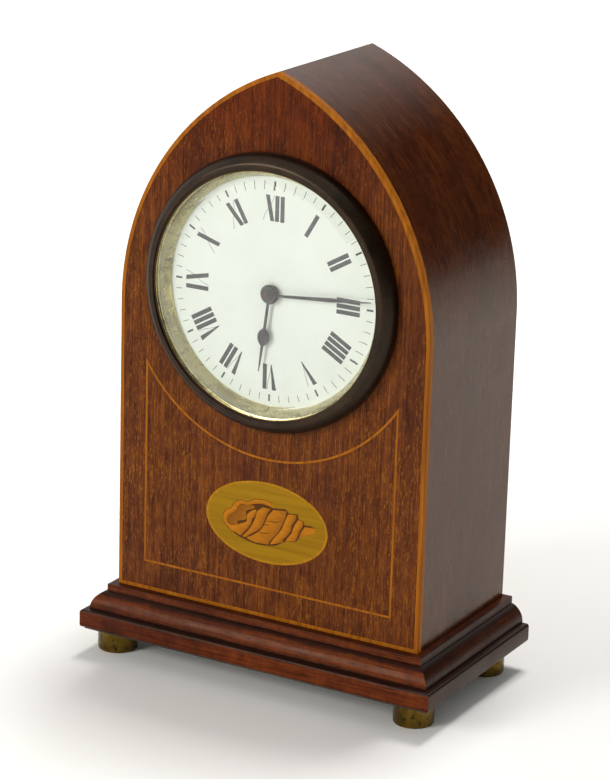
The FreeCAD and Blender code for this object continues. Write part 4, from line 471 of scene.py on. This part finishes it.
def build_edge_line():
    outer = half_outline(0.0, BODY_Z)
    inner = half_outline(EDGE, BODY_Z + EDGE)
    outer = [(-x, z) for x, z in outer] + outer[::-1][1:]
    inner = [(-x, z) for x, z in inner] + inner[::-1][1:]
    count = len(outer)
    points, faces = [], []
    soft = 0.25
    for index in range(count):
        (ax, az), (bx, bz) = outer[index], inner[index]
        across = Vector((bx - ax, 0, bz - az)).normalized()
        points += [
            (ax, FRONT_Y + LINE_DEPTH, az), (ax, FRONT_Y + soft, az),
            (ax + across.x * soft, FRONT_Y, az + across.z * soft), (bx, FRONT_Y, bz),
            (bx, FRONT_Y + LINE_DEPTH, bz),
        ]
    for index in range(count):
        after = (index + 1) % count
        for spot in range(5):
            other = (spot + 1) % 5
            faces.append((index * 5 + spot, index * 5 + other, after * 5 + other, after * 5 + spot))
    thing = mesh_object("edge_line", points, faces, boxwood)
    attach(thing, "case")
    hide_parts("edge_stringing")


# ---------------------------------------------------------------- plinth
BACK_REACH = 2.6
OVOLO_REACH, OVOLO_RADIUS, OVOLO_DROP = 7.9, 7.1, 9.8
QUIRK_REACH, QUIRK_RISE, FILLET_DROP = 3.5, 0.5, 2.9
SLAB_REACH, SLAB_DROP, SLAB_ROUND = 10.7, 17.0, 1.1
SLAB_BENDS = (90, 67, 45, 22, 0)


def mitred(name, profile, node):
    """Sweeps a (reach, height) profile round the left side, front and right side."""
    back = BACK_Y + BACK_REACH
    count = len(profile)
    stations = []
    for spot in ("left_back", "left_front", "right_front", "right_back"):
        ring = []
        for reach, z in profile:
            x = (HALF + reach) * (-1 if "left" in spot else 1)
            y = back if "back" in spot else FRONT_Y - reach
            ring.append((x, y, z))
        stations.append(ring)
    points = [p for ring in stations for p in ring]
    faces, sides = [], []
    for station in range(3):
        for spot in range(count - 1):
            a, b = station * count + spot, (station + 1) * count + spot
            faces.append((a, b, b + 1, a + 1))
            sides.append(station != 1)
    faces.append(tuple(station * count for station in range(4)))
    sides.append(False)
    faces.append(tuple(station * count + count - 1 for station in range(4)))
    sides.append(False)
    back_face = [index for index in range(count)] + [3 * count + index for index in range(count)][::-1]
    faces.append(tuple(back_face))
    sides.append(False)
    thing = mesh_object(name, points, faces, plinth_front, True, 28)
    # the side faces take the second, darker material: painted shade on the plinth's returns
    thing.data.materials.append(plinth_side_shaded)
    for face, side in zip(thing.data.polygons, sides):
        face.material_index = 1 if side else 0
    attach(thing, "case")
    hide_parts(node)
    return thing


def build_plinth():
    foot, fillet = BODY_Z - OVOLO_DROP, BODY_Z - FILLET_DROP
    chord = Vector((OVOLO_REACH - QUIRK_REACH, foot + QUIRK_RISE - fillet))
    middle = Vector((QUIRK_REACH, fillet)) + chord / 2
    away = math.sqrt(OVOLO_RADIUS ** 2 - chord.length_squared / 4)
    centre = middle - Vector((-chord.y, chord.x)).normalized() * away
    first = math.degrees(math.atan2(fillet - centre.y, QUIRK_REACH - centre.x))
    last = math.degrees(math.atan2(foot + QUIRK_RISE - centre.y, OVOLO_REACH - centre.x))
    profile = [(7.86, foot + 0.04)] + arc(centre, OVOLO_RADIUS, last, first, 16)
    profile += [(3.05, fillet + 0.03), (3.0, fillet + 0.3), (3.0, BODY_Z - 0.35), (2.9, BODY_Z - 0.08),
                (2.65, BODY_Z)]
    mitred("plinth_ovolo", profile, "plinth_moulding")

    def corner(level, upward, bend):
        """A point of the slab's rounded edge that starts at this level."""
        turn = math.radians(bend)
        return (SLAB_REACH - SLAB_ROUND * (1 - math.cos(turn)),
                level + upward * SLAB_ROUND * (1 - math.sin(turn)))

    slab = [corner(BODY_Z - SLAB_DROP, 1, bend) for bend in SLAB_BENDS]
    slab += [corner(foot, -1, bend) for bend in SLAB_BENDS[::-1]]
    mitred("plinth_base", slab, "plinth_slab")


def build_feet():
    profile = [
        (3.2, 0.0), (7.1, 0.0), (7.5, 0.16), (7.66, 0.5), (7.7, 1.2), (7.72, 7.9), (7.8, 8.3), (7.96, 8.6),
        (8.0, 9.1), (7.97, 9.9), (7.8, 10.3), (1.6, 10.3), (1.6, 2.2), (3.2, 2.2),
    ]
    for name in ("foot_front_left", "foot_front_right", "foot_rear_left", "foot_rear_right"):
        low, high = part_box(name)
        centre = ((low.x + high.x) / 2 / MM, (low.y + high.y) / 2 / MM)
        thing = lathe(name + "_turned", profile, foot_brass, "case", centre, 96, True)
        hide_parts(name)


# ---------------------------------------------------------------- bezel and sight ring
def build_bezel():
    crest = arc((45.92, -1.21), 6.2, 11.3, -64, 18)
    profile = [(52.0, 0.0)] + [(min(x, 52.0), max(y, -6.8)) for x, y in crest]
    profile += [(47.9, -6.8), (47.2, -6.75), (46.95, -6.55), (46.9, -6.15), (46.0, -6.12), (45.8, -6.0),
                (45.8, -5.75), (46.5, -5.75), (46.5, -4.0), (43.8, -0.4), (43.8, 6.0), (46.6, 6.0),
                (46.6, 0.0)]
    bezel = lathe("bezel_turned", profile, bezel_brass, "case", angle=30)
    bezel.data.materials.append(lip_brass)
    for face in bezel.data.polygons:
        reach = (Vector((face.center.x, face.center.z - DIAL_Z * MM))).length / MM
        if reach < 46.2 and face.center.y / MM - FRONT_Y < -5.7:
            face.material_index = 1
    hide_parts("bezel")
    profile = [(42.4, 0.55), (42.4, 0.2), (42.6, -0.4), (43.3, -1.5), (44.6, -3.2), (45.4, -4.1),
               (45.9, -4.3), (46.4, -4.3), (42.9, 0.55)]
    sight = lathe("sight_turned", profile, sight_gilt, "case")
    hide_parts("sight_ring")
    profile = [(0.01, -4.4), (46.4, -4.4), (46.4, -5.45), (46.3, -5.55), (41.6, -6.49), (41.4, -6.5),
               (0.01, -6.5)]
    pane = lathe("glass_bevelled", profile, glass, "case", angle=5)
    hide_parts("bezel_glass")


# ---------------------------------------------------------------- dial marks
def radial(u, v, hour):
    """A mark's point: u across, v out from the centre, turned to its place on the dial."""
    bend = math.radians(hour * 30)
    return (u * math.cos(bend) + v * math.sin(bend), DIAL_Z - u * math.sin(bend) + v * math.cos(bend))


INNER, OUTER = 26.8, 36.3
STROKE, GAP, HAIR = 1.62, 0.58, 0.07


def hairline(low, high, bow, parts=12):
    """A thin curved stroke from the inner to the outer edge of a numeral."""
    line = []
    for step in range(parts + 1):
        share = step / parts
        across = low + (high - low) * share + bow * math.sin(math.tau * share)
        line.append((across, INNER + (OUTER - INNER) * share))
    return [(u - HAIR, v) for u, v in line] + [(u + HAIR, v) for u, v in reversed(line)]


def numeral(letters):
    """Strokes of a Roman numeral as four-cornered shapes, centred on its width."""
    shapes, at = [], 0.0
    for letter in letters:
        if letter == "I":
            shapes.append([(at, INNER), (at + STROKE, INNER), (at + STROKE, OUTER), (at, OUTER)])
            at += STROKE + GAP
        elif letter == "V":
            tip = at + 2.3
            shapes.append([(tip - 0.12, INNER), (tip + 0.3, INNER), (at + STROKE + 0.15, OUTER), (at, OUTER)])
            shapes.append(hairline(tip + 0.11, at + 3.83, -0.16))
            at += 3.9 + GAP * 0.4
        else:
            slant = 1.9
            shapes.append([(at + slant + 1.1, INNER), (at + slant + STROKE + 1.1, INNER),
                           (at + STROKE + 0.9, OUTER), (at + 0.9, OUTER)])
            shapes.append(hairline(at + 0.07, at + 4.43, -0.34))
            at += 4.6 + GAP * 0.5
    width = max(u for shape in shapes for u, _ in shape)
    return [[(u - width / 2, v) for u, v in shape] for shape in shapes]


def build_marks():
    points, faces = [], []
    level, back = FRONT_Y + 0.555, FRONT_Y + 0.6

    def slab(corners, hour):
        start, count = len(points), len(corners)
        for height in (level, back):
            for u, v in corners:
                x, z = radial(u, v, hour)
                points.append((x, height, z))
        faces.append(tuple(range(start, start + count)))
        for step in range(count):
            after = (step + 1) % count
            faces.append((start + step, start + after, start + count + after, start + count + step))

    words = ["XII", "I", "II", "III", "IIII", "V", "VI", "VII", "VIII", "IX", "X", "XI"]
    for hour, word in enumerate(words):
        for shape in numeral(word):
            slab(shape, hour)
    for minute in range(60):
        wide = 0.36 if minute % 5 == 0 else 0.11
        low, high = (38.1, 40.7) if minute % 5 == 0 else (38.3, 40.8)
        slab([(-wide, low), (wide, low), (wide, high), (-wide, high)], minute / 5)
    marks = mesh_object("dial_marks", points, faces, dial_ink, False)
    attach(marks, "case")


# ---------------------------------------------------------------- shell inlay
SHELL_GROWTH, SHELL_SHIFT = 1.035, 0.45
BAND_DEPTH, BAND_STEP = 0.05, 0.006
SHELL_EDGE = [
    (21.84, 0.51), (17.84, -1.06), (14.05, -3.05), (12.67, -4.69), (8.2, -5.62), (4.57, -7.77),
    (-1.59, -8.79),
    (-5.74, -8.52), (-10.76, -7.36), (-15.41, -4.89), (-17.56, -2.67), (-17.69, -0.42), (-16.61, 1.62),
    (-14.35, 3.06), (-13.16, 5.23), (-10.29, 6.82), (-7.79, 6.49), (-4.53, 8.09), (-0.84, 8.64), (2.06, 8.09),
    (3.66, 6.35), (8.24, 6.71), (9.7, 5.51), (13.15, 5.84), (13.82, 4.1), (15.87, 3.58), (16.31, 2.37),
    (19.97, 2.22), (20.61, 1.0),
]
SHELL_BANDS = [
    (0.0, 0.35,  # lip
     [(3.66, 6.35), (1.85, 7.98), (-0.91, 8.47), (-4.53, 7.98), (-7.79, 6.34), (-10.28, 6.67), (-13.07, 5.13),
      (-14.27, 3.0), (-16.49, 1.57), (-17.61, -0.48), (-17.47, -2.65), (-15.33, -4.8), (-12.87, -6.27)],
     [(3.02, 6.03), (0.87, 6.54), (-1.81, 6.72), (-4.89, 6.02), (-7.14, 5.19), (-9.75, 5.12), (-11.37, 3.81),
      (-11.92, 2.19), (-14.29, 0.42), (-15.51, -1.04), (-15.55, -2.83), (-13.36, -3.52), (-11.3, -2.53)]),
    (0.55, 0.35,  # hollow
     [(-9.75, 5.12), (-11.37, 3.81), (-11.75, 2.3), (-14.21, 0.44), (-15.5, -1.11), (-15.46, -2.81),
      (-13.15, -3.48)],
     [(-4.46, 5.51), (-4.76, 4.47), (-7.71, 3.12), (-8.0, 1.55), (-8.11, -0.37), (-11.33, -1.48),
      (-11.51, -2.57)]),
    (1.0, 0.9,  # shadow
     [(-5.7, 5.71), (-2.84, 6.73), (-0.37, 6.78), (2.11, 6.3)],
     [(-4.03, 5.06), (-2.4, 5.84), (-0.35, 6.03), (2.61, 5.8)]),
    (0.0, 0.45,  # whorl_a
     [(-4.42, 4.16), (-6.46, 2.99), (-7.82, 1.2), (-7.93, -1.09), (-11.29, -2.72), (-14.18, -4.26),
      (-11.2, -6.61)],
     [(-3.59, 3.95), (-4.35, 1.53), (-5.35, 0.2), (-5.92, -1.81), (-7.52, -4.03), (-8.73, -5.42),
      (-9.86, -6.87)]),
    (0.0, 0.5,  # whorl_b
     [(-1.16, 5.64), (-3.58, 3.57), (-4.14, 1.2), (-5.19, -1.28), (-6.9, -4.09), (-8.31, -5.71),
      (-9.44, -7.01)],
     [(2.13, 5.48), (0.95, 3.74), (-0.01, 1.28), (-1.06, -1.19), (-2.57, -3.2), (-5.82, -5.5),
      (-8.06, -7.18)]),
    (0.1, 0.45,  # body
     [(3.16, 5.5), (1.17, 3.03), (0.2, 0.95), (-0.88, -1.53), (-2.56, -3.77), (-5.4, -5.87), (-7.6, -7.31),
      (-4.09, -8.25)],
     [(8.75, 6.07), (8.52, 4.15), (7.57, 1.7), (6.42, -0.79), (5.25, -2.91), (3.86, -4.52), (2.27, -6.55),
      (1.49, -8.04)]),
    (0.0, 0.5,  # whorl_c
     [(9.31, 5.06), (8.35, 2.99), (7.4, 0.54), (6.44, -1.54), (4.86, -3.75), (3.08, -6.0), (2.1, -7.87)],
     [(12.84, 5.47), (12.61, 3.85), (11.06, 1.29), (10.71, -0.85), (9.15, -3.24), (7.76, -4.66),
      (7.59, -5.9)]),
    (0.0, 0.5,  # whorl_d
     [(13.54, 3.82), (12.26, 1.91), (11.5, 0.25), (10.86, -1.76), (9.57, -3.53), (8.4, -5.35)],
     [(15.75, 3.45), (15.52, 1.83), (14.36, -0.28), (13.81, -1.9), (13.24, -3.22), (12.66, -4.54)]),
    (0.0, 0.3,  # spire
     [(16.37, 1.7), (20.18, 1.96), (20.7, 0.84), (21.76, 0.49)],
     [(14.59, -0.99), (14.07, -2.6), (14.25, -2.93), (17.84, -0.99)]),
]
SHELL_CUTS = [
    [(-0.12, 0.66), (2.26, 0.81), (4.72, 1.19), (7.15, 1.99)], [(-0.9, -1.01), (0.4, -0.7), (1.48, -0.56)],
    [(-2.87, -4.21), (-0.07, -4.09), (2.71, -3.25)], [(16.44, 2.17), (19.15, 2.42)],
]


def smooth_line(corners, steps):
    """A Catmull-Rom line through the corners."""
    line = []
    for index in range(len(corners) - 1):
        a = Vector(corners[max(index - 1, 0)])
        b, c = Vector(corners[index]), Vector(corners[index + 1])
        d = Vector(corners[min(index + 2, len(corners) - 1)])
        for step in range(steps):
            s = step / steps
            line.append(0.5 * (2 * b + (c - a) * s + (2 * a - 5 * b + 4 * c - d) * s * s
                               + (3 * b - a - 3 * c + d) * s ** 3))
    return line + [Vector(corners[-1])]


def shell_place(flat):
    """A point of the shell's drawing on the front, grown to the length of the real inlay."""
    return Vector((flat[0] * SHELL_GROWTH - SHELL_SHIFT, flat[1] * SHELL_GROWTH))


def build_ground():
    low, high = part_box("patera_ground")
    wide, tall = (high.x - low.x) / 2 / MM, (high.z - low.z) / 2 / MM
    oval = [Vector((wide * math.cos(math.tau * step / 128), tall * math.sin(math.tau * step / 128)))
            for step in range(128)]
    hole = [shell_place(flat) for flat in smooth_line(SHELL_EDGE + SHELL_EDGE[:1], 4)[:-1]]
    loops = [oval, hole]
    flats = oval + hole
    points = [(flat.x, FRONT_Y, PATERA_Z + flat.y) for flat in flats]
    points += [(flat.x, FRONT_Y + 0.6, PATERA_Z + flat.y) for flat in flats]
    faces = [tuple(face) for face in tessellate_polygon([[v.to_3d() for v in loop] for loop in loops])]
    faces += [tuple(index + len(flats) for index in face)[::-1] for face in faces]
    start = 0
    for loop in loops:
        for step in range(len(loop)):
            a, b = start + step, start + (step + 1) % len(loop)
            faces.append((a, b, b + len(flats), a + len(flats)))
        start += len(loop)
    thing = mesh_object("ground_plate", points, faces, ground, False)
    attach(thing, "case")
    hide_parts("patera_ground")


def build_shell():
    points, faces, scorch = [], [], []
    face, base = FRONT_Y, FRONT_Y + 0.06

    def spot(flat, level, shade):
        flat = shell_place(flat)
        points.append((flat.x, level, PATERA_Z + flat.y))
        scorch.append(shade)

    edge = smooth_line(SHELL_EDGE + SHELL_EDGE[:1], 4)[:-1]
    for depth in (base, FRONT_Y + 1.0):
        for flat in edge:
            spot(flat, depth, 0.95)
    count = len(edge)
    faces.append(tuple(range(count)))
    faces.append(tuple(range(count, count * 2)))
    for step in range(count):
        after = (step + 1) % count
        faces.append((step, after, count + after, count + step))
    across = 10
    for order, (first, last, left, right) in enumerate(SHELL_BANDS):
        level = face + BAND_DEPTH - BAND_STEP * order
        one, two = smooth_line(left, 5), smooth_line(right, 5)
        start = len(points)
        for a, b in zip(one, two):
            inset = (b - a).normalized() * 0.09 if (b - a).length > 0.3 else Vector((0, 0))
            a, b = a + inset, b - inset
            for step in range(across + 1):
                share = step / across
                spot(a.lerp(b, share), level, first + (last - first) * share ** 2.2)
        rows = len(one)
        for row in range(rows - 1):
            for step in range(across):
                at = start + row * (across + 1) + step
                faces.append((at, at + 1, at + across + 2, at + across + 1))
    for cut in SHELL_CUTS:
        line = smooth_line(cut, 6)
        start = len(points)
        for index, flat in enumerate(line):
            ahead = line[min(index + 1, len(line) - 1)] - line[max(index - 1, 0)]
            swell = 0.16 * math.sin(math.pi * (index + 0.6) / len(line))
            side = Vector((-ahead.y, ahead.x)).normalized() * swell
            spot(flat + side, face - 0.004, 0.95)
            spot(flat - side, face - 0.004, 0.95)
        for index in range(len(line) - 1):
            at = start + index * 2
            faces.append((at, at + 1, at + 3, at + 2))
    shell = mesh_object("shell_shaded", points, faces, shell_wood, False)
    shade = shell.data.attributes.new("scorch", "FLOAT", "POINT")
    for index, value in enumerate(scorch):
        shade.data[index].value = value
    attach(shell, "case")
    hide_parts("shell_inlay")


build_ground()
build_shell()
build_sides()
build_edge_line()
build_plinth()
build_feet()
build_bezel()
build_marks()


# ---------------------------------------------------------------- floor, light, camera
LEAN_SIDE, LEAN_DEPTH = 0.49, 0.872


def build_floor():
    look = Look("floor_paper")
    cloud = look.noise(look.stretch((1, 1, 1)), 6, 3, 0.5)
    look.tree.nodes.remove(look.shader)
    paper = look.add("ShaderNodeBsdfDiffuse")
    rays = look.add("ShaderNodeLightPath")
    seen = look.math("MAXIMUM", rays.outputs["Is Camera Ray"], rays.outputs["Is Transmission Ray"])
    seen = look.math("MAXIMUM", seen, rays.outputs["Is Glossy Ray"])
    tone = look.ramp(cloud, (0.3, srgb(240, 239, 235)), (0.7, srgb(245, 244, 241)))
    x, y = look.axis("X"), look.axis("Y")
    away = look.math("ADD", look.math("MULTIPLY", x, -LEAN_SIDE), look.math("MULTIPLY", y, LEAN_DEPTH))
    aside = look.math("ADD", look.math("MULTIPLY", x, LEAN_DEPTH), look.math("MULTIPLY", y, LEAN_SIDE))
    # painted light: for the camera, the floor is brightened more the further it lies from the clock
    painted_light_gain = look.grey(look.math("ABSOLUTE", away), -0.15, 1.5, 1.0, 1.88)
    # painted shadow: the floor to the right of the clock, past a slanted line, is darkened a little
    slant = look.math("SUBTRACT", aside, look.math("MULTIPLY", away, 0.589))
    corner = look.math("MULTIPLY", look.grey(slant, -0.09, -0.06), look.grey(aside, 0.0, 0.08))
    painted_light_gain = look.math("MULTIPLY", painted_light_gain, look.math("SUBTRACT", 1.0, look.math("MULTIPLY", corner, 0.08)))
    bright = look.add("ShaderNodeVectorMath", operation="SCALE")
    look.join(tone, bright.inputs["Vector"])
    look.join(painted_light_gain, bright.inputs["Scale"])
    look.join(look.mix(seen, tone, bright.outputs["Vector"]), paper.inputs["Color"])
    look.join(paper.outputs["BSDF"], look.out.inputs["Surface"])
    mesh = bpy.data.meshes.new("floor")
    half = 6.0
    corners = [(-half, -half, 0), (half, -half, 0), (half, half, 0), (-half, half, 0)]
    mesh.from_pydata(corners, [], [(0, 1, 2, 3)])
    mesh.materials.append(look.material)
    floor = bpy.data.objects.new("floor", mesh)
    bpy.context.scene.collection.objects.link(floor)


def area_light(name, where, target, size, power, tint):
    data = bpy.data.lights.new(name, "AREA")
    data.energy = power
    data.color = tint
    data.size = size
    lamp = bpy.data.objects.new(name, data)
    lamp.location = where
    aim = Vector(target) - Vector(where)
    lamp.rotation_euler = aim.to_track_quat("-Z", "Y").to_euler()
    bpy.context.scene.collection.objects.link(lamp)
    return lamp


def build_world():
    world = bpy.data.worlds.new("studio")
    bpy.context.scene.world = world
    world.use_nodes = True
    tree = world.node_tree
    tree.nodes.clear()
    out = tree.nodes.new("ShaderNodeOutputWorld")
    rays = tree.nodes.new("ShaderNodeLightPath")
    seen = tree.nodes.new("ShaderNodeBackground")
    seen.inputs["Color"].default_value = (1, 1, 1, 1)
    seen.inputs["Strength"].default_value = 1.0
    room = tree.nodes.new("ShaderNodeBackground")
    coords = tree.nodes.new("ShaderNodeTexCoord")
    split = tree.nodes.new("ShaderNodeSeparateXYZ")
    tree.links.new(coords.outputs["Generated"], split.inputs["Vector"])
    lean = tree.nodes.new("ShaderNodeMath")
    lean.operation = "MULTIPLY_ADD"
    tree.links.new(split.outputs["X"], lean.inputs[0])
    lean.inputs[1].default_value = -0.9
    tree.links.new(split.outputs["Z"], lean.inputs[2])
    ramp = tree.nodes.new("ShaderNodeValToRGB")
    tree.links.new(lean.outputs[0], ramp.inputs["Fac"])
    cells = ramp.color_ramp.elements
    cells[0].position, cells[0].color = 0.26, (0.015, 0.013, 0.012, 1)
    cells[1].position, cells[1].color = 0.62, (1, 1, 1, 1)
    extra = cells.new(0.4)
    extra.color = (0.3, 0.29, 0.28, 1)
    tree.links.new(ramp.outputs["Color"], room.inputs["Color"])
    room.inputs["Strength"].default_value = 1.0
    plain = tree.nodes.new("ShaderNodeBackground")
    plain.inputs["Color"].default_value = (1, 1, 1, 1)
    plain.inputs["Strength"].default_value = 0.4
    first = tree.nodes.new("ShaderNodeMixShader")
    tree.links.new(rays.outputs["Is Glossy Ray"], first.inputs["Fac"])
    tree.links.new(plain.outputs["Background"], first.inputs[1])
    tree.links.new(room.outputs["Background"], first.inputs[2])
    both = tree.nodes.new("ShaderNodeMath")
    both.operation = "MAXIMUM"
    tree.links.new(rays.outputs["Is Camera Ray"], both.inputs[0])
    tree.links.new(rays.outputs["Is Transmission Ray"], both.inputs[1])
    second = tree.nodes.new("ShaderNodeMixShader")
    tree.links.new(both.outputs[0], second.inputs["Fac"])
    tree.links.new(first.outputs["Shader"], second.inputs[1])
    tree.links.new(seen.outputs["Background"], second.inputs[2])
    tree.links.new(second.outputs["Shader"], out.inputs["Surface"])


AZIMUTH, ELEVATION, ROLL = 29.33, 17.29, 1.68
FOCAL_PIXELS, PICTURE_ROWS, SENSOR, DISTANCE = 2940.8, 779, 24.0, 1.1392


def build_camera():
    azimuth, elevation, roll = (math.radians(angle) for angle in (AZIMUTH, ELEVATION, ROLL))
    back = Vector((math.sin(azimuth) * math.cos(elevation), -math.cos(azimuth) * math.cos(elevation),
                   math.sin(elevation)))
    right = Vector((0, 0, 1)).cross(back).normalized()
    up = back.cross(right)
    turned_right = right * math.cos(roll) + up * math.sin(roll)
    turned_up = up * math.cos(roll) - right * math.sin(roll)
    data = bpy.data.cameras.new("camera")
    data.sensor_fit = "VERTICAL"
    data.sensor_height = SENSOR
    data.lens = FOCAL_PIXELS / PICTURE_ROWS * SENSOR
    data.clip_start, data.clip_end = 0.05, 30
    camera = bpy.data.objects.new("camera", data)
    target = Vector((-18.9, FRONT_Y + 60.0, BODY_Z + 70.8)) * MM
    spot = target + back * DISTANCE
    basis = Matrix((turned_right, turned_up, back)).transposed().to_4x4()
    camera.matrix_world = Matrix.Translation(spot) @ basis
    bpy.context.scene.collection.objects.link(camera)
    bpy.context.scene.camera = camera


build_floor()
build_world()
area_light("key", (-0.75, -1.35, 0.7), (0, 0, 0.1), 0.6, 14.0, (1.0, 0.985, 0.965))
area_light("top", (0.02, 0.42, 1.45), (0, 0, 0.1), 0.45, 14.0, (1.0, 0.995, 0.985))
build_camera()
bpy.context.scene.view_settings.view_transform = "Standard"
